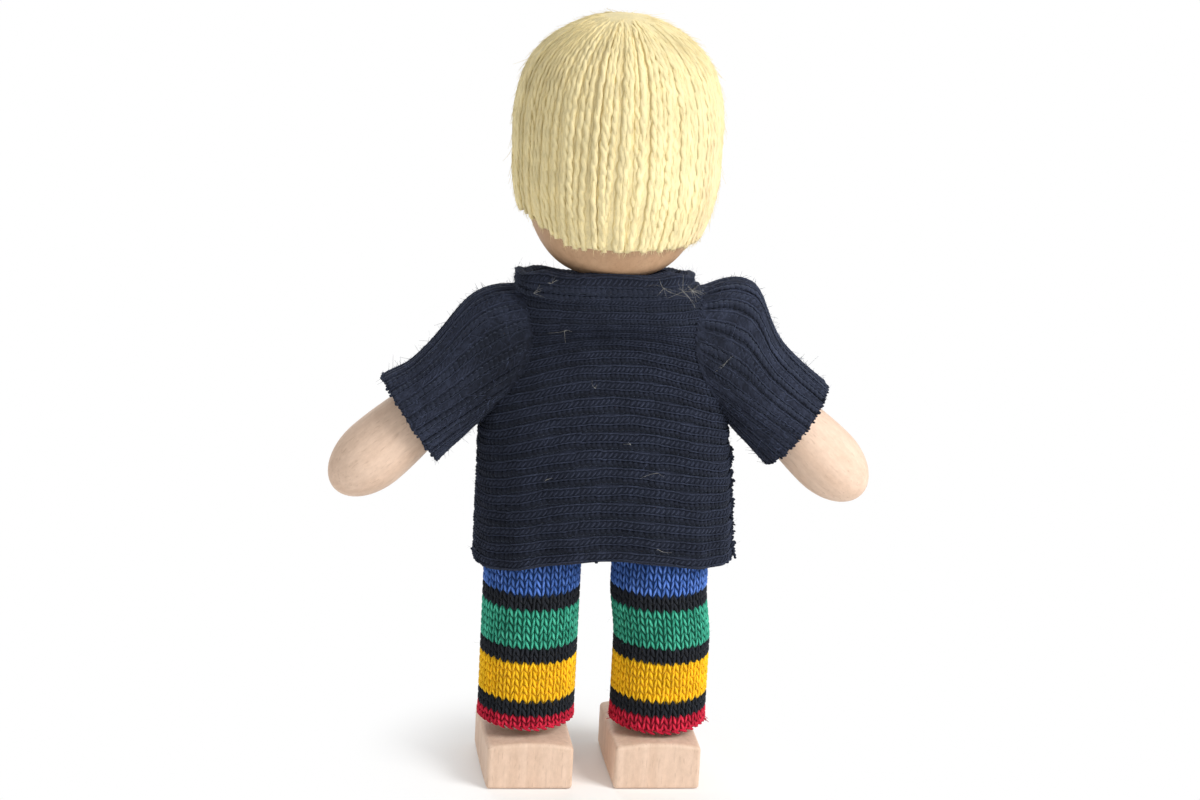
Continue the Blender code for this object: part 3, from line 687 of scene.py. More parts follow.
# %% Wig cap
CAP_GROWS, HAIRS, ENDS = 1.013, 8000, 1200
rise = 0.11 * MM * wig_path(line_s)[3]
profile = list(zip(line_r[::4] * CAP_GROWS, (line_z + rise)[::4]))
shape = lathe(profile + [(line_r[-1] * CAP_GROWS, line_z[-1] + 0.25 * MM)], steps=90)
for vert in shape.verts:
    vert.co.xy *= 1 - 0.0045 * vert.co.x / HEAD_R
opened = []
for face in shape.faces:
    x, y, z = face.calc_center_median()
    if in_face(0.94 * x, y, FACE_Z + 0.94 * (z - FACE_Z)) or in_notch(x, 0.97 * y, z - 0.4 * MM):
        opened.append(face)
bmesh.ops.delete(shape, geom=opened, context="FACES")
bmesh.ops.recalc_face_normals(shape, faces=shape.faces)
bmesh.ops.solidify(shape, geom=shape.faces, thickness=0.35 * MM)
cap_mesh = as_mesh(shape)
dye_and_shade(cap_mesh, 0.97 * STRAW)
cap = piece("wig_cap", cap_mesh, wig_yarn)
wig = piece("wig_strands", mesh, wig_yarn)
down = points_of(out_z * np.cos(angle), out_z * np.sin(angle), -out_r)
outward = points_of(out_r * np.cos(angle), out_r * np.sin(angle), out_z)
chosen = chance.choice(np.flatnonzero(local[:, 2] < 0.9), HAIRS)
heading = (down - 0.07 * outward)[chosen] + chance.normal(0, 0.12, (HAIRS, 3))
fleece = fibres(points[chosen], heading, chance.normal(0, 0.10, (HAIRS, 3)),
                chance.uniform(1.2, 3.2, HAIRS) * MM, 0.032 * MM, cuts=2)
chosen = chance.choice(np.flatnonzero(local[:, 2] > 0.96), ENDS)
heading = down[chosen] + chance.normal(0, 0.35, (ENDS, 3))
ends = fibres(points[chosen], heading, chance.normal(0, 0.3, (ENDS, 3)),
              chance.uniform(0.3, 0.8, ENDS) * MM, 0.032 * MM, cuts=2)
halo = joined(fleece, ends, stray(mesh, 160, 0.45 * MM, 0.014 * MM))
dye_and_shade(halo, STRAW * 1.06)
halo = piece("wig_halo", halo, wig_yarn)
for part in (wig, cap, halo):
    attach(part, "head")
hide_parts("wig")

# %% [markdown]
# ## A knitted stitch
# Plain knitting shows columns of small Vs. Each V is one loop of yarn, and each of its two arms
# is a fat spindle that leans outwards and dives into the cloth at both ends. A low-polygon sphere,
# stretched and tilted, is enough for an arm, since hundreds of them will share the light.
# X is the V's width, Y the way the column runs, and Z stands off the cloth. A stitch is a list of
# its arms: segments and rings of the sphere, half-axes in millimetres, lean in degrees, and how far
# the arm stands from the column's middle. `knitted` copies the stitch and varies its colour and place,
# and paints shade on each arm: it grows darker towards the ends that dive into the cloth, down to `dark`.

# %% Stitch
def loop_of(arms):
    shape = bmesh.new()
    for (sides, rings), size, lean, offset in arms:
        arm = bmesh.ops.create_uvsphere(shape, u_segments=sides, v_segments=rings, radius=1)["verts"]
        upright = Matrix.Rotation(math.pi / 2, 3, "X")
        tilt = Matrix.Rotation(math.radians(lean), 3, "Z")
        bmesh.ops.rotate(shape, verts=arm, cent=(0, 0, 0), matrix=upright)
        bmesh.ops.scale(shape, verts=arm, vec=[half * MM for half in size])
        bmesh.ops.rotate(shape, verts=arm, cent=(0, 0, 0), matrix=tilt)
        bmesh.ops.translate(shape, verts=arm, vec=(offset * MM, 0, 0))
    return shape


def vee(size, lean, offset):
    return [((6, 5), size, -lean, offset), ((6, 5), size, lean, -offset)]


def knitted(arms, count, dip, dark=0.62):
    mesh, local, which = repeated(loop_of(arms), count)
    local[:, 2] -= dip * (local[:, 1] / np.abs(local[:, 1]).max()) ** 2
    # Painted shade: the deeper part of each arm is darker.
    depth = (local[:, 2] - local[:, 2].min()) / np.ptp(local[:, 2])
    wool = (dark + (1 - dark) * depth) * chance.uniform(0.86, 1.10, count)[which]
    note(mesh, "lay", local[:, [0, 2, 1]] + (which * 2.3 * MM)[:, None])
    local[:, :2] += chance.normal(0, 0.035 * MM, (count, 2))[which]
    return mesh, local, which, wool

# %% [markdown]
# ## Cloth behind the stitches
# Behind the stitches lies a thin closed cloth, which is what the frame's declared sheet measures.
# A flat grid is bent over a surface, its edges are merged where they meet, parts that are cut away
# are deleted, and `solidify` thickens what is left inwards.

# %% Cloth
def cloth(columns, rows, surface, thickness, keep=None):
    shape = bmesh.new()
    bmesh.ops.create_grid(shape, x_segments=columns, y_segments=rows, size=0.5)
    flat = np.array([vert.co for vert in shape.verts]) + 0.5
    for vert, point in zip(shape.verts, surface(flat[:, 0], flat[:, 1])):
        vert.co = point
    bmesh.ops.remove_doubles(shape, verts=shape.verts, dist=0.005 * MM)
    if keep:
        away = [face for face in shape.faces if not keep(face.calc_center_median())]
        bmesh.ops.delete(shape, geom=away, context="FACES")
    shape.normal_update()
    bmesh.ops.solidify(shape, geom=shape.faces, thickness=thickness)
    return as_mesh(shape)

# %% [markdown]
# ## Trouser legs
# Each leg is a knitted tube of 34 columns. The stripes change with the courses: from the hem up
# two of red, two of black, five of yellow, two of black, five of green, two of black, five of
# blue, and black again under the tunic. Because a colour belongs to a stitch, its Vs bite into
# the stripe below, as they do in the photo.

# %% Trouser surface
WALES, COURSE, LEG_R = 34, 1.08 * MM, 6.6 * MM
LEG_LOW, LEG_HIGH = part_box("left_trouser_leg")[0].z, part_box("left_trouser_leg")[1].z
WALE = math.tau * LEG_R / WALES
RED, BLACK, YELLOW = (0.56, 0.012, 0.045), (0.018, 0.021, 0.028), (0.98, 0.57, 0.006)
GREEN, BLUE = (0.026, 0.35, 0.225), (0.045, 0.14, 0.48)
courses = [RED] * 2 + [BLACK] * 2 + [YELLOW] * 5 + [BLACK] * 2 + [GREEN] * 5 + [BLACK] * 2 + [BLUE] * 5
courses = np.array(courses + [BLACK] * 3)
COURSES = int((LEG_HIGH - LEG_LOW) / COURSE)
HEM_LIFT = {"left": 0.6 * MM, "right": 0.1 * MM}


def leg_point(side, around, height, out):
    share = np.clip((height - LEG_LOW) / (LEG_HIGH - LEG_LOW), 0, 1) ** (2 / 3)
    radius = LEG_R + 0.1 * MM * (1 - eased(share * 4)) + out
    swing = 0.8 * MM * (1 - eased((height - 19 * MM) / (8 * MM))) if side == "right" else 0.0
    middle = joints[f"{side}_leg_swing"].x - swing
    height = height + HEM_LIFT[side] * (1 - eased((height - LEG_LOW) / (2.6 * MM)))
    return points_of(middle + radius * np.cos(around), radius * np.sin(around), height)


def course_colour(height):
    return courses[np.clip(((height - LEG_LOW) / COURSE).astype(int), 0, len(courses) - 1)]

# %% [markdown]
# The stitches are laid out flat as columns and courses and rolled round the leg in one step. The two
# arms are not alike: as in the photo, one is longer and steeper. At the hem the knitting was cast off,
# which leaves a chain that lies on its side and curls outwards: an even V, run round the leg instead
# of up. On the doll's right a few thread ends hang out of it.

# %% Trouser stitches
LEG_LOOP = [((6, 5), (0.17, 0.86, 0.26), -11, 0.33), ((6, 5), (0.20, 0.78, 0.27), 20, -0.32)]
THREADS = 12


def leg_stitches(side):
    mesh, local, which, wool = knitted(LEG_LOOP, WALES * COURSES, 0.20 * MM, 0.26)
    local[:, 0] += local[:, 1] * chance.normal(0, 0.06, WALES * COURSES)[which]
    row = which // WALES
    around = ((which % WALES) * WALE + local[:, 0]) / LEG_R
    height = LEG_LOW + (row + 0.62) * COURSE + local[:, 1]
    place(mesh, leg_point(side, around, height, local[:, 2] - 0.22 * MM))
    # Painted light and shade: crests lighter and dips darker, flatter on yellow and none on black; `pale` is
    # a painted highlight on the crests.
    strong = courses[row].max(1)
    wool = np.where(courses[row, 0] > 0.9, 1.1 * wool ** 0.35, 0.2 + 1.2 * wool ** 2)
    wool = np.where(strong < 0.1, 1.0, wool)[:, None]
    pale = 0.05 * wool ** 3 * (strong - 0.8 * courses[row, 0])[:, None]
    dye_and_shade(mesh, courses[row] * wool + pale)
    return mesh


def leg_hem(side):
    mesh, local, which, wool = knitted(vee((0.20, 0.74, 0.24), 24, 0.16), WALES, 0.1 * MM)
    around = math.tau * (which + local[:, 1] / (1.09 * MM)) / WALES
    height = LEG_LOW + 0.26 * MM - local[:, 0] + 0.10 * MM * np.sin(3 * around)
    place(mesh, leg_point(side, around, height, local[:, 2] - 0.24 * MM))
    dye_and_shade(mesh, RED, wool)
    return mesh


def hem_threads(side):
    around = chance.normal(np.repeat((0.25, math.pi - 0.35), THREADS // 2), 0.12)
    height = LEG_LOW + chance.uniform(0.2, 1.0, THREADS) * MM
    roots = leg_point(side, around, height, -0.1 * MM)
    heading = points_of(np.cos(around), 0.4 * np.sin(around), chance.uniform(-0.7, 0.3, THREADS))
    curls = chance.normal(0, 0.9, (THREADS, 3))
    mesh = fibres(roots, heading, curls, chance.uniform(0.25, 0.6, THREADS) * MM, 0.11 * MM)
    dye_and_shade(mesh, RED)
    return mesh

# %% [markdown]
# `bend_leg` only bakes a leg piece's place into its mesh; it needs finished meshes, so it comes last.

# %% Trouser legs
def bend_leg(part):
    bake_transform(part)


for side in ("left", "right"):
    tube_mesh = cloth(64, COURSES * 2, lambda u, v: leg_point(
        side, u * math.tau, LEG_LOW + 0.1 * MM + v * (LEG_HIGH - LEG_LOW - 0.1 * MM), -0.38 * MM), 0.7 * MM)
    ground = course_colour(coords(tube_mesh)[:, 2])
    # The cloth between the stitches is darkened as painted shade.
    dye_and_shade(tube_mesh, ground, 0.4 + 0.4 * ground[:, 0])
    knit = joined(leg_stitches(side), leg_hem(side))
    if side == "right":
        knit = joined(knit, hem_threads(side))
    fuzz = stray(knit, 150, 1.1 * MM, 0.014 * MM)
    dye_and_shade(fuzz, course_colour(coords(fuzz)[:, 2]) * 1.1 + 0.01)
    trouser = piece(f"{side}_trouser_cloth", tube_mesh, stripe_yarn)
    stitches = piece(f"{side}_trouser_stitches", joined(knit, fuzz), stripe_yarn)
    for part in (trouser, stitches):
        bend_leg(part)
    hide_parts(f"{side}_trouser_leg")

# %% [markdown]
# ## The tunic's shape
# The tunic was sewn from a ribbed sock: a back, a front, two short sleeves and a neckband. Its body
# is a squarish oval, wider at the hem than at the armpits and drawn in to the collar. The hem
# rises in the middle, waves a little, and hangs over to the doll's right.

# %% Tunic surface
HEM, TOP, ARMPIT, TUNIC_SWING = 30.2 * MM, 68.9 * MM, 49.7 * MM, 0.8 * MM
ARMHOLE_Z, ARMHOLE_HIGH, ARMHOLE_DEEP = 59.0 * MM, 9.3 * MM, 6.4 * MM


def tunic_sizes(height):
    below = np.maximum((ARMPIT - height) / (ARMPIT - HEM), 0)
    body = (16.9 + 0.8 * below) * MM
    share = eased((height - ARMPIT) / (TOP - ARMPIT))
    return body + (12.3 * MM - body) * share, (9.4 - 1.2 * share) * MM, below


def squarish(value, power):
    return np.sign(value) * np.abs(value) ** power


def run_along(points):
    return np.concatenate([[0], np.cumsum(np.linalg.norm(np.diff(points, axis=0), axis=1))])


def tunic_point(turn, share, out, start, rise, power, drop, bow):
    middle = np.sin(turn)
    hem = HEM + rise * middle ** power + 0.8 * MM * eased(-np.cos(start + turn) * 1.4 - 0.4)
    height = hem + (TOP - drop * middle - hem) * share
    sag = 0.28 * bow * np.exp(-((share - 0.87) / 0.10) ** 2)
    height = height + (bow * 4 * share ** 2 * (1 - share) - sag) * middle ** 2
    wide, deep, below = tunic_sizes(height)
    fold = 0.35 * MM * (1 - np.clip(share, 0, 1)) ** 3 * middle * np.cos(14 * turn)
    c, s = np.cos(start + turn), np.sin(start + turn)
    lean_x, lean_y = squarish(c, 1.2) / wide, squarish(s, 1.2) / deep
    size = np.hypot(lean_x, lean_y)
    x = squarish(c, 0.8) * (wide + fold) + out * lean_x / size - TUNIC_SWING * below
    y = squarish(s, 0.8) * (deep + fold) + out * lean_y / size
    return points_of(x, y, height)


steps = np.linspace(0, math.pi, 600)
walk = run_along(tunic_point(steps, 0.4, 0.0, 0.0, 0.0, 1, 0.0, 0.0))
PANEL_WIDTH = walk[-1]


def even_turn(share):
    return np.interp(share, walk / PANEL_WIDTH, steps)


print("panel", round(PANEL_WIDTH / MM, 1), "mm wide")

# %% [markdown]
# ## Ribs that lie on their side
# In the photo the ribs run across the back: the sock was turned by a quarter, and it was pulled up
# in the middle, so the ribs bow. Each rib is stretched knitting. Its loops show as short strokes
# that slant to the right, between two straight lines, and between two ribs a broad smooth strand lies
# sunk in a furrow. One loop is therefore four spindles. Loops inside an armhole are left out. `wear`
# flattens the strokes where the knit has felted.

# %% Rib stitches
RIBS, LOOP = 18, 0.70 * MM
LOOPS = int(PANEL_WIDTH / LOOP)
NAVY = np.array((0.0185, 0.0225, 0.038))
RIB_LOOP = [((5, 4), (0.17, 0.55, 0.28), 50, 0), ((4, 4), (0.12, 0.52, 0.21), 3, 0.62),
            ((4, 4), (0.12, 0.52, 0.21), 3, -0.62), ((4, 4), (0.52, 0.56, 0.16), -9, 1.29)]


def in_armhole(y, z, margin=0.0):
    return (y / (ARMHOLE_DEEP - margin)) ** 2 + ((z - ARMHOLE_Z) / (ARMHOLE_HIGH - margin)) ** 2 < 1


def without(mesh, drop):
    shape = bmesh.new()
    shape.from_mesh(mesh)
    shape.verts.ensure_lookup_table()
    bmesh.ops.delete(shape, geom=[shape.verts[int(i)] for i in np.flatnonzero(drop)], context="VERTS")
    return as_mesh(shape)


def in_furrow(local):
    return eased((local[:, 0] / MM - 0.75) / 0.2)


def rib_stitches(count):
    mesh, local, which, wool = knitted(RIB_LOOP, count, 0.05 * MM)
    furrow = in_furrow(local)
    local[:, 2] -= 0.15 * MM * furrow
    # Painted shade darkens the sunk furrow strand; the two edge lines are made lighter.
    return mesh, local, which, wool * (1.3 + 0.75 * eased(np.abs(local[:, 0]) / (0.6 * MM)) - 1.4 * furrow)


def wear(local, wool, worn):
    strokes = worn * (1 - eased((np.abs(local[:, 0]) / MM - 0.45) / 0.1))
    local[:, 2] *= 1 - 0.8 * strokes
    return wool + (1.15 - wool) * strokes


def panel_stitches(*form):
    mesh, local, which, wool = rib_stitches(RIBS * LOOPS)
    rib, loop = which // LOOPS, which % LOOPS
    across = ((loop + 0.5) * LOOP + local[:, 1]) / (LOOPS * LOOP)
    wave = 0.03 * np.sin(across * 23 + rib * 1.7) + 0.02 * np.sin(across * 51 + rib * 2.9)
    worn = 0.5 + 0.5 * np.sin(7 * loop / LOOPS + 2.4 * rib) * np.sin(17 * loop / LOOPS - 1.3 * rib)
    felted = 0.24 * eased((rib / RIBS - 0.70) / 0.2)
    local[:, 2] *= 1 - felted
    wool = wear(local, wool + (1.25 - wool) * felted, np.maximum(0.9 * worn, felted))
    share = (rib + 0.45 + wave - local[:, 0] / (2.58 * MM)) / RIBS
    points = tunic_point(even_turn(across), share, local[:, 2] - 0.18 * MM, *form)
    place(mesh, points)
    dye_and_shade(mesh, NAVY, wool)
    centres = np.array([points[which == k].mean(0) for k in range(RIBS * LOOPS)])
    gone = in_armhole(centres[:, 1], centres[:, 2], 1.3 * MM) & (np.abs(centres[:, 0]) > 9 * MM)
    return without(mesh, gone[which] | ((rib == 0) & (local[:, 0] > 0.95 * MM)))

# %% [markdown]
# Wear has also raised short fibres, which lie flat all over the knit, and raw edges end in nubs. The
# cloth behind the stitches swells under each rib.

# %% Tunic panels
NUB = [((5, 4), (0.19, 0.27, 0.19), math.degrees(0.5), 0)]
TORN = ((0, 0.10, 22), (0.9, 1, 22), (0, 1, 26))


def felt(mesh, count, thickness=0.014 * MM):
    flat = stray(mesh, count, 0.9 * MM, thickness, lift=0.12)
    dye_and_shade(flat, NAVY * chance.uniform(1.2, 5.8, count).repeat(len(flat.vertices) // count)[:, None])
    upright = stray(mesh, 90, 0.55 * MM, 0.012 * MM)
    dye_and_shade(upright, NAVY * 3 + 0.01)
    return joined(flat, upright)


def nubs(roots, spread):
    mesh, local, which = repeated(loop_of(NUB), len(roots))
    roots = roots + chance.normal(0, spread, roots.shape)
    place(mesh, roots[which] + local * chance.uniform(0.6, 1.25, len(roots))[which, None])
    dye_and_shade(mesh, NAVY, chance.uniform(0.9, 1.5, len(roots))[which])
    return mesh


def rib_wave(share):
    return 0.16 * MM * np.cos(math.tau * (share * RIBS - 0.45))


for name, form in (("tunic_back", (0.0, 2.4 * MM, 5, 0.0, 5.8 * MM)),
                   ("tunic_front", (math.pi, 3.0 * MM, 1, 1.8 * MM, 1.0 * MM))):
    body = cloth(72, RIBS * 6, lambda u, v: tunic_point(
        even_turn(0.001 + 0.998 * u), v, rib_wave(v) - 0.36 * MM, *form), 0.6 * MM,
        keep=lambda c: not in_armhole(c.y, c.z, 1.8 * MM) or abs(c.x) < 9 * MM)
    dye_and_shade(body, NAVY)
    knit = panel_stitches(*form)
    corners = np.concatenate([chance.uniform(*part) for part in TORN])
    edge = tunic_point(even_turn(corners), 0.01, -0.25 * MM, *form)
    torn = nubs(edge, 0.09 * MM)
    panel = piece(f"{name}_cloth", body, navy_yarn)
    stitches = piece(f"{name}_stitches", joined(knit, felt(knit, 1400), torn), navy_yarn)
    for part in (panel, stitches):
        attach(part, "torso")
    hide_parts(name)

# %% [markdown]
# ## Neckband
# The collar is a narrow standing band, felted by wear and lower in front. Two chains run round it
# and a third along its uneven rim, where the edge is turned in towards the neck. Its oval is walked
# by length, so that the loops keep their size round the corners.

# %% Neckband
COLLAR_LOW, COLLAR_DROP = TOP + 0.3 * MM, 2.3 * MM
ring = np.linspace(0, math.tau, 900)


def collar_point(angle, height, out):
    c, s = np.cos(angle), np.sin(angle)
    rim = np.clip((height - COLLAR_LOW) / (1.6 * MM), 0, 1)
    uneven = 0.4 * np.maximum(s, 0) - 0.6 * c ** 8 + 0.2 * np.sin(8 * angle + 2)
    return points_of(squarish(c, 0.8) * (np.where(c > 0, 13.0, 11.2) * MM + out),
                     squarish(s, 0.8) * (8.2 * MM + out),
                     height - COLLAR_DROP * np.maximum(-s, 0) + rim * MM * uneven)


walked = run_along(collar_point(ring, ring * 0, ring * 0))


def even_ring(share):
    return np.interp(share % 1.0, walked / walked[-1], ring)


turned_in = np.array([(-0.4, -0.2), (-0.3, 0.8), (-0.4, 1.6), (-0.9, 1.8), (-1.5, 1.5), (-2.4, 0.4),
                      (-4.0, -1.1), (-5.0, -1.7)]) * MM
fold_s = np.linspace(0, 1, len(turned_in))
collar_loops = int(walked[-1] / LOOP)
band = cloth(96, 21, lambda u, v: collar_point(
    even_ring(np.minimum(u, 0.99999)), COLLAR_LOW + np.interp(v, fold_s, turned_in[:, 1]),
    np.interp(v, fold_s, turned_in[:, 0])), 0.4 * MM)
dye_and_shade(band, NAVY * 0.7)
mesh, local, which, wool = rib_stitches(3 * collar_loops)
furrow = in_furrow(local)
local[:, 2] += 0.22 * MM * furrow
wool = wear(local, wool + (1.2 - wool) * (0.35 + 0.4 * furrow), 0.85)
around = even_ring(((which % collar_loops) * LOOP + local[:, 1]) / (collar_loops * LOOP))
row = which // collar_loops
flat = row == 2
height = COLLAR_LOW + np.where(flat, 1.62 * MM + local[:, 2], row * MM - 0.8 * local[:, 0])
out = np.where(flat, -1.1 * MM - 0.7 * local[:, 0], local[:, 2] - 0.32 * MM)
place(mesh, collar_point(around, height, out))
dye_and_shade(mesh, NAVY, wool)
neckband = piece("neckband_cloth", band, navy_yarn)
neck_stitches = piece("neckband_stitches", joined(mesh, felt(mesh, 1700)), navy_yarn)
for part in (neckband, neck_stitches):
    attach(part, "torso")
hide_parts("neckband")

# %% [markdown]
# ## Sleeves
# A sleeve starts on the armhole's oval and ends in a round cuff that is set a little askew, with
# some fullness at its top. `sleeve_point` goes straight from one ring to the other. Inside the
# body the sleeve carries a turned-in seam allowance that covers the armhole's edge. The doll's right
# sleeve is set in with more fullness than its left one.

# %% Sleeve surface
CUFF_R, SLEEVE_LENGTH, SKEW = 6.35 * MM, 19.3 * MM, math.radians(7.5)
CUFF_FLARE = {"left": 0.3 * MM, "right": 0.9 * MM}
CUFF_LIP = {"left": 0.8 * MM, "right": 0.3 * MM}
CAPS = {"left": (2.8 * MM, 0.34, 0.26, 0.4 * MM), "right": (4.6 * MM, 0.38, 0.16, 1.2 * MM)}


def fullness_at(side, share):
    puff, peak, spread, ease = CAPS[side]
    share = np.clip(share, 0, 1)
    rise = np.sin(math.pi / 2 * np.minimum(share / peak, 1))
    return puff * rise * np.exp(-(np.maximum(share - peak, 0) / spread) ** 2) + ease * np.sin(math.pi * share)


def sleeve_point(side, angle, share, out):
    up, deep = np.cos(angle), np.sin(angle)
    tucked = out - 1.4 * MM * eased(-share * 20)
    root_y, root_z = (ARMHOLE_DEEP + tucked) * deep, ARMHOLE_Z + (ARMHOLE_HIGH + tucked) * up
    wide, thick, _ = tunic_sizes(root_z)
    root_x = wide * (1 - np.minimum(np.abs(root_y) / thick, 1) ** 2.5) ** 0.4 - 0.3 * MM
    lean = math.pi / 2 - SLOPE + SKEW
    hinge = joints["left_arm_raise"]
    lip = CUFF_FLARE[side] + CUFF_LIP[side] * eased((share - 0.8) / 0.2)
    cuff = CUFF_R + out + lip * np.maximum(up, 0)
    end_x = hinge.x + math.cos(SLOPE) * SLEEVE_LENGTH + math.cos(lean) * up * cuff
    end_z = hinge.z - math.sin(SLOPE) * SLEEVE_LENGTH + math.sin(lean) * up * cuff
    full = fullness_at(side, share) * np.maximum(up, 0) ** 1.5
    x = root_x + (end_x - root_x) * share + 0.1 * full
    y = root_y + (cuff * deep - root_y) * share
    z = root_z + (end_z - root_z) * share + full
    return points_of(SIGN[side] * x, y, z)

# %% [markdown]
# On the sleeves the ribs run lengthwise, twenty of them. The underside is much shorter than the top,
# so each rib gets as many loops as its own length needs. The seam round the armhole is felted over:
# of one more chain only flattened strokes are left. The cuff was left raw, so its edge is nubbly. Light
# and shade are painted into the colour: `GLOW` paints light on the top of a sleeve, and `CREASE_SHADE`
# paints shade on it towards the armhole.

# %% Sleeves
SLEEVE_RIBS, CUFF_NUBS = 20, 110
GLOW = {"left": 0.18, "right": 0.35}
CREASE_SHADE = {"left": 0.5, "right": 0.28}


# Painted shade: darker near the body and below the shoulder.
def crease_shade(side, points):
    near = 1 - eased((np.abs(points[:, 0]) - 16 * MM) / (5.5 * MM))
    return 1 - CREASE_SHADE[side] * near * eased((67 * MM - points[:, 2]) / (6 * MM))


def sleeve_rib(side, rib):
    middle = math.tau * (rib + 0.5) / SLEEVE_RIBS
    t = np.linspace(0, 1, 60)
    run = run_along(sleeve_point(side, middle, t, 0.0))
    loops = max(int(run[-1] / LOOP), 4)
    mesh, local, which, wool = rib_stitches(loops)
    felted = 0.64 + 0.30 * np.sin(9 * which / loops + 2.4 * rib)
    local[:, 2] *= 1 - 0.8 * felted
    wool = wear(local, wool + (1.25 - wool) * felted, felted)
    ragged = chance.uniform(-0.01, 0.035)
    step = which + 0.5 + local[:, 1] / LOOP
    share = np.interp(step / loops * (1.02 + ragged) - 0.02, run / run[-1], t)
    share = share + np.maximum(step - loops, 0) * 0.03
    angle = middle - SIGN[side] * local[:, 0] / (8.9 * MM)
    points = sleeve_point(side, angle, share, 0.85 * local[:, 2] - 0.16 * MM)
    place(mesh, points)
    # Painted light on the top of the sleeve, and painted shade towards the armhole.
    lit = 1.15 + GLOW[side] * np.maximum(np.cos(angle), 0)
    dye_and_shade(mesh, NAVY, wool * lit * crease_shade(side, points))
    return mesh


def armhole_strokes(side):
    turns = np.linspace(0, math.tau, 300)
    run = run_along(sleeve_point(side, turns, 0.0, 0.0))
    loops = int(run[-1] / LOOP)
    mesh, local, which, wool = rib_stitches(loops)
    angle = np.interp((which + 0.5 + SIGN[side] * local[:, 1] / LOOP) / loops, run / run[-1], turns)
    local[:, 2] *= 0.3
    wool = wear(local, 0.4 * wool + 0.7, 0.8)
    share = np.maximum(local[:, 0] / (17 * MM), -0.014)
    points = sleeve_point(side, angle, share, local[:, 2] + 0.02 * MM)
    place(mesh, points)
    # Painted shade towards the armhole, as on the sleeve.
    dye_and_shade(mesh, NAVY, wool * crease_shade(side, points))
    return without(mesh, np.abs(local[:, 0]) > 0.5 * MM)


def sleeve_wave(share):
    return -0.16 * MM * np.cos(math.tau * share * SLEEVE_RIBS) - 0.26 * MM


for side, sign in SIGN.items():
    tube_mesh = cloth(SLEEVE_RIBS * 8, 60, lambda u, v: sleeve_point(
        side, -sign * math.tau * u, -0.12 + 1.12 * v, sleeve_wave(u) * eased((v - 0.10) / 0.08)), 0.6 * MM)
    mottled = chance.uniform(0.7, 1.7, len(tube_mesh.vertices))
    # Random mottling, with painted shade towards the armhole.
    dye_and_shade(tube_mesh, NAVY, mottled * crease_shade(side, coords(tube_mesh)))
    knit = joined(*[sleeve_rib(side, rib) for rib in range(SLEEVE_RIBS)], armhole_strokes(side))
    round_cuff = chance.uniform(0, math.tau, CUFF_NUBS)
    torn = nubs(sleeve_point(side, round_cuff, 1.0, -0.2 * MM), 0.10 * MM)
    sleeve = piece(f"{side}_sleeve_cloth", tube_mesh, navy_yarn)
    stitches = piece(f"{side}_sleeve_stitches", joined(knit, felt(knit, 2600, 0.03 * MM), torn), navy_yarn)
    for part in (sleeve, stitches):
        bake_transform(part)
    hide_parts(f"{side}_sleeve")

# %% [markdown]
# ## The raw seam
# Down the doll's right side back and front meet in a raw seam that was left on the outside. It is
# a ragged ridge: a strip with uneven edges, one chain of the sewing stitch, and many loose ends.

# %% Side seam
low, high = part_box("side_seam")
SEAM_LOOPS = 22


def seam_x(height):
    wide, _, below = tunic_sizes(height)
    return -(wide + TUNIC_SWING * below)


shape = bmesh.new()
bmesh.ops.create_cube(shape, size=1.0)
bmesh.ops.scale(shape, verts=shape.verts, vec=(1.2 * MM, 0.7 * MM, high.z - low.z))
bmesh.ops.subdivide_edges(shape, edges=shape.edges, cuts=1, use_grid_fill=True)
tall = [edge for edge in shape.edges if abs(edge.verts[0].co.z - edge.verts[1].co.z) > 1 * MM]
bmesh.ops.subdivide_edges(shape, edges=tall, cuts=17)
mesh = as_mesh(shape)
strip = coords(mesh) + np.array([0, (low.y + high.y) / 2, (low.z + high.z) / 2])
ragged = 0.16 * MM * (np.sin(strip[:, 2] * 1900) + np.sin(strip[:, 2] * 4300 + 1))
strip[:, 0] += np.where(strip[:, 0] < 0, ragged, 0) + seam_x(strip[:, 2]) + 0.6 * MM
strip[:, 1] += 0.15 * MM * np.sin(strip[:, 2] * 2600)
place(mesh, strip)
dye_and_shade(mesh, NAVY * 0.8)
seam = piece("side_seam_strip", mesh, navy_yarn)

mesh, local, which, wool = knitted(vee((0.22, 0.55, 0.28), 34, 0.26), SEAM_LOOPS, 0.1 * MM)
height = low.z + (high.z - low.z) * (which + 0.5 + local[:, 1] / (0.75 * MM)) / SEAM_LOOPS
place(mesh, points_of(seam_x(height) + 0.4 * MM + local[:, 0], high.y - 0.35 * MM + local[:, 2], height))
dye_and_shade(mesh, NAVY, wool)
ridge = coords(seam.data)
ridge = ridge[chance.choice(np.flatnonzero(ridge[:, 0] < seam_x(ridge[:, 2]) + 0.4 * MM), 150)]
seam_stitches = piece("side_seam_stitches", joined(mesh, nubs(ridge, 0.13 * MM), felt(mesh, 200)), navy_yarn)
for part in (seam, seam_stitches):
    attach(part, "torso")
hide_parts("side_seam")

# %% [markdown]
# ## Lint
# Dark wool collects lint. The photo shows a pale tuft on the doll's right shoulder, wisps along the
# collar and a few specks further down. Each tuft is a handful of fibres that start at one spot of
# the back and lie over it. `spots` holds their places, X and height, and how many and how long.

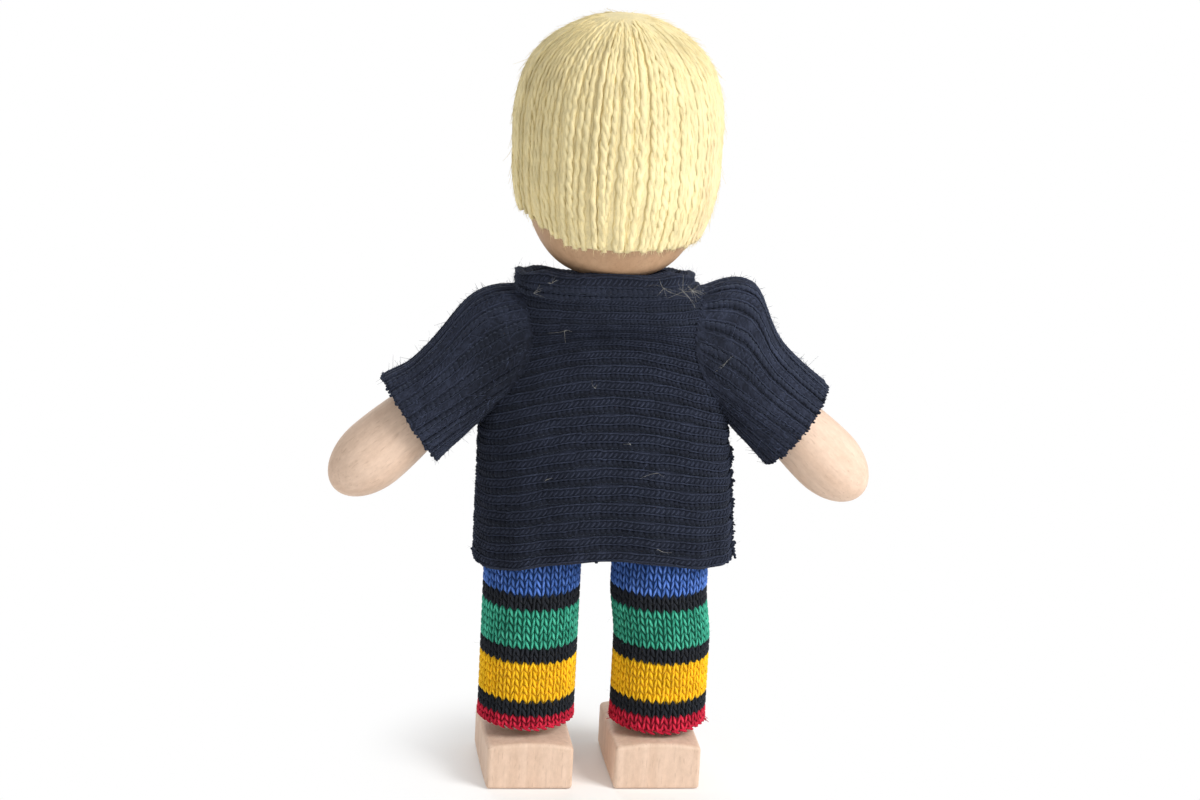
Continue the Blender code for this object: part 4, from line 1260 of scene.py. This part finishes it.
# %% Lint
spots = [(-10.8, 69.0, 14, 1.3), (-8.6, 69.5, 8, 1.7), (-6.6, 70.0, 8, 1.6), (9.4, 70.2, 6, 1.0),
         (11.0, 68.0, 4, 0.8), (7.6, 64.2, 4, 0.9), (8.6, 44.7, 3, 0.5), (-2.1, 48.5, 2, 1.3),
         (-6.6, 45.4, 2, 1.2), (-7.5, 34.7, 3, 0.9), (3.0, 56.0, 3, 0.9), (-15.4, 60.0, 4, 0.9)]
knits = [bpy.data.objects[name].data for name in (
    "tunic_back_stitches", "neckband_stitches", "left_sleeve_stitches", "right_sleeve_stitches")]
cloth_points = np.concatenate([coords(knit) for knit in knits])
cloth_points = cloth_points[cloth_points[:, 1] > 4 * MM]
roots, lengths = [], []
for x, z, count, length in spots:
    gap = np.hypot(cloth_points[:, 0] - x * MM, cloth_points[:, 2] - z * MM)
    near = np.flatnonzero(gap < 0.8 * MM)
    spot = cloth_points[near[np.argmax(cloth_points[near, 1])]]
    roots += [spot] * count
    lengths += [length * MM] * count
roots, count = np.array(roots) + (0, 0.05 * MM, 0), len(roots)
heading = chance.normal(0, 1, (count, 3)) * (0.8, 0.12, 0.6) + (0, 0.15, 0)
curls = chance.normal(0, 0.5, (count, 3)) * (1, 0.2, 1)
lint_mesh = fibres(roots, heading, curls, np.array(lengths), 0.02 * MM)
pale = chance.uniform(0.10, 0.62, (count, 1)).repeat(len(lint_mesh.vertices) // count, 0)
dye_and_shade(lint_mesh, pale * (1, 0.98, 0.9))
lint = piece("lint", lint_mesh, cotton_yarn)
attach(lint, "torso")

# %% [markdown]
# ## Under the clothes
# Nobody sees the seat, the waistband and the padded wires unless the doll is turned over or a limb
# is bent far. They are there all the same: a plain black seat with a floor between the legs, an
# elastic band, and limbs wound with cotton thread over a bent wire.

# %% Seat and waistband
SEAT_WIDE, SEAT_DEEP = 15.3 * MM, 6.9 * MM


def seat_point(turn, height, grow):
    c, s = np.cos(turn), np.sin(turn)
    return points_of(squarish(c, 0.625) * (SEAT_WIDE + grow), squarish(s, 0.625) * (SEAT_DEEP + grow),
                     height)


low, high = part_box("trouser_seat")


def seat_surface(u, v):
    wall = np.clip((v - 0.25) / 0.75, 0, 1)
    shrink = -SEAT_DEEP * 0.999 * (1 - np.clip(v / 0.25, 0, 1))
    ribbed = 0.06 * MM * np.sin(u * math.tau * 64)
    return seat_point(u * math.tau, low.z - 0.15 * MM + (high.z - low.z) * wall, shrink - 0.05 * MM + ribbed)


mesh = cloth(128, 24, seat_surface, 0.2 * MM)
dye_and_shade(mesh, BLACK)
seat = piece("trouser_seat_cloth", mesh, stripe_yarn)
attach(seat, "torso")
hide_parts("trouser_seat")

low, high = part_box("waistband")
mesh = cloth(128, 10, lambda u, v: seat_point(
    u * math.tau, low.z + (high.z - low.z) * v,
    0.10 * MM * np.sin(u * math.tau * 48) - 0.15 * MM), 0.9 * MM)
dye_and_shade(mesh, (0.03, 0.03, 0.035))
waist = piece("waistband_elastic", mesh, elastic_yarn)
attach(waist, "torso")
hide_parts("waistband")

# %% [markdown]
# The wound limbs are plain tubes whose radius rises and falls along a screw line, which looks like
# thread laid turn by turn. The wires keep the frame's own shape, because a bent wire is already all
# there is to it.

# %% Padded wires
THREAD = 0.6 * MM
steel, tree = material("wire_steel")
shade(tree, Base_Color=ramp(tree, clouds(tree, 1500.0, 2.0), [(0.3, (0.45, 0.45, 0.46)), (0.7, 0.62)]),
      Metallic=1.0, Roughness=0.38)


def cut_up(mesh):
    shape = bmesh.new()
    shape.from_mesh(mesh)
    long = [edge for edge in shape.edges if edge.calc_length() > 3 * MM]
    bmesh.ops.subdivide_edges(shape, edges=long, cuts=48)
    return as_mesh(shape)


def wound(start, end, radius):
    mesh, local, _ = repeated(tube(28, 110), 1)
    along = end - start
    turns = along.length / THREAD
    screw = np.arctan2(local[:, 1], local[:, 0]) + math.tau * turns * local[:, 2]
    size = np.hypot(local[:, 0], local[:, 1]) * (radius - 0.10 * MM * (1 - np.abs(np.cos(screw / 2))))
    turn = np.array(along.to_track_quat("Z", "Y").to_matrix())
    bar = points_of(size * local[:, 0], size * local[:, 1], local[:, 2] * along.length)
    place(mesh, bar @ turn.T + np.array(start))
    dye_and_shade(mesh, (0.80, 0.77, 0.70))
    return mesh


for side, along in ARM_LINE.items():
    hip, shoulder = joints[f"{side}_leg_swing"], joints[f"{side}_arm_raise"]
    low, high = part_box(f"{side}_leg_wrap")
    cores = {"leg": (Vector((hip.x, 0, low.z)), Vector((hip.x, 0, high.z)), 4.2 * MM),
             "arm": (shoulder + along * 1.6 * MM, shoulder + along * 17.1 * MM, 3.6 * MM)}
    for limb, core_form in cores.items():
        core = piece(f"{side}_{limb}_core", wound(*core_form), cotton_yarn)
        wire = piece(f"{side}_{limb}_steel", cut_up(frame["nodes"][f"{side}_{limb}_wire"].data), steel)
        for part, node_name, slot_name in ((core, "wrap", "cotton_wrap"), (wire, "wire", "wire")):
            if limb == "leg":
                bend_leg(part)
            else:
                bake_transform(part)
            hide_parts(f"{side}_{limb}_{node_name}")

# %% [markdown]
# ## A plain face
# The photo doesn't show the face, so it gets the simplest one that such dolls have: two dark dots
# for eyes and a small smile. The dots are flattened spheres, sunk into the wood, and the smile is a
# thin bent tube. All of it is guessed.

# %% Face
EYE_X, EYE_Z = 3.9 * MM, HEAD_Z + 15.5 * MM
paint, tree = material("face_paint")
tone = node(tree, "Attribute", {"attribute_name": "yarn"})
brushed = ramp(tree, clouds(tree, 2200.0, 2.0), [(0.3, 0.85), (0.7, 1.0)])
shade(tree, Base_Color=times(tree, (tone, "Color"), brushed), Roughness=0.45)


def head_radius(height):
    return np.interp(height, heights[::-1], radii[::-1])


eyes = []
for sign in SIGN.values():
    shape = bmesh.new()
    bmesh.ops.create_uvsphere(shape, u_segments=20, v_segments=12, radius=1.0)
    bmesh.ops.scale(shape, verts=shape.verts, vec=(0.85 * MM, 0.22 * MM, 1.05 * MM))
    turned = Matrix.Rotation(math.asin(sign * EYE_X / head_radius(EYE_Z)), 3, "Z")
    bmesh.ops.rotate(shape, verts=shape.verts, cent=(0, 0, 0), matrix=turned)
    depth = math.sqrt(head_radius(EYE_Z) ** 2 - EYE_X ** 2)
    bmesh.ops.translate(shape, verts=shape.verts, vec=(sign * EYE_X, -depth, EYE_Z))
    mesh = as_mesh(shape)
    dye_and_shade(mesh, (0.03, 0.022, 0.018))
    eyes.append(mesh)
smile, local, _ = repeated(tube(8, 20), 1)
x = (local[:, 2] - 0.5) * 5.4 * MM
z = HEAD_Z + 9.0 * MM + 1.0 * MM * (2 * local[:, 2] - 1) ** 2
thin = (0.25 - 0.12 * (2 * local[:, 2] - 1) ** 2) * MM
y = -np.sqrt(head_radius(z) ** 2 - x ** 2)
place(smile, points_of(x, y + thin * 0.6 * local[:, 0], z + thin * local[:, 1]))
dye_and_shade(smile, (0.42, 0.08, 0.06))
face = piece("face_paint", joined(*eyes, smile), paint)
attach(face, "head")

# %% [markdown]
# ## Sizes and finish
# Last, the box of the dressed doll is taken from all that renders, without the floor.

# %% Finish
low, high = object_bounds()
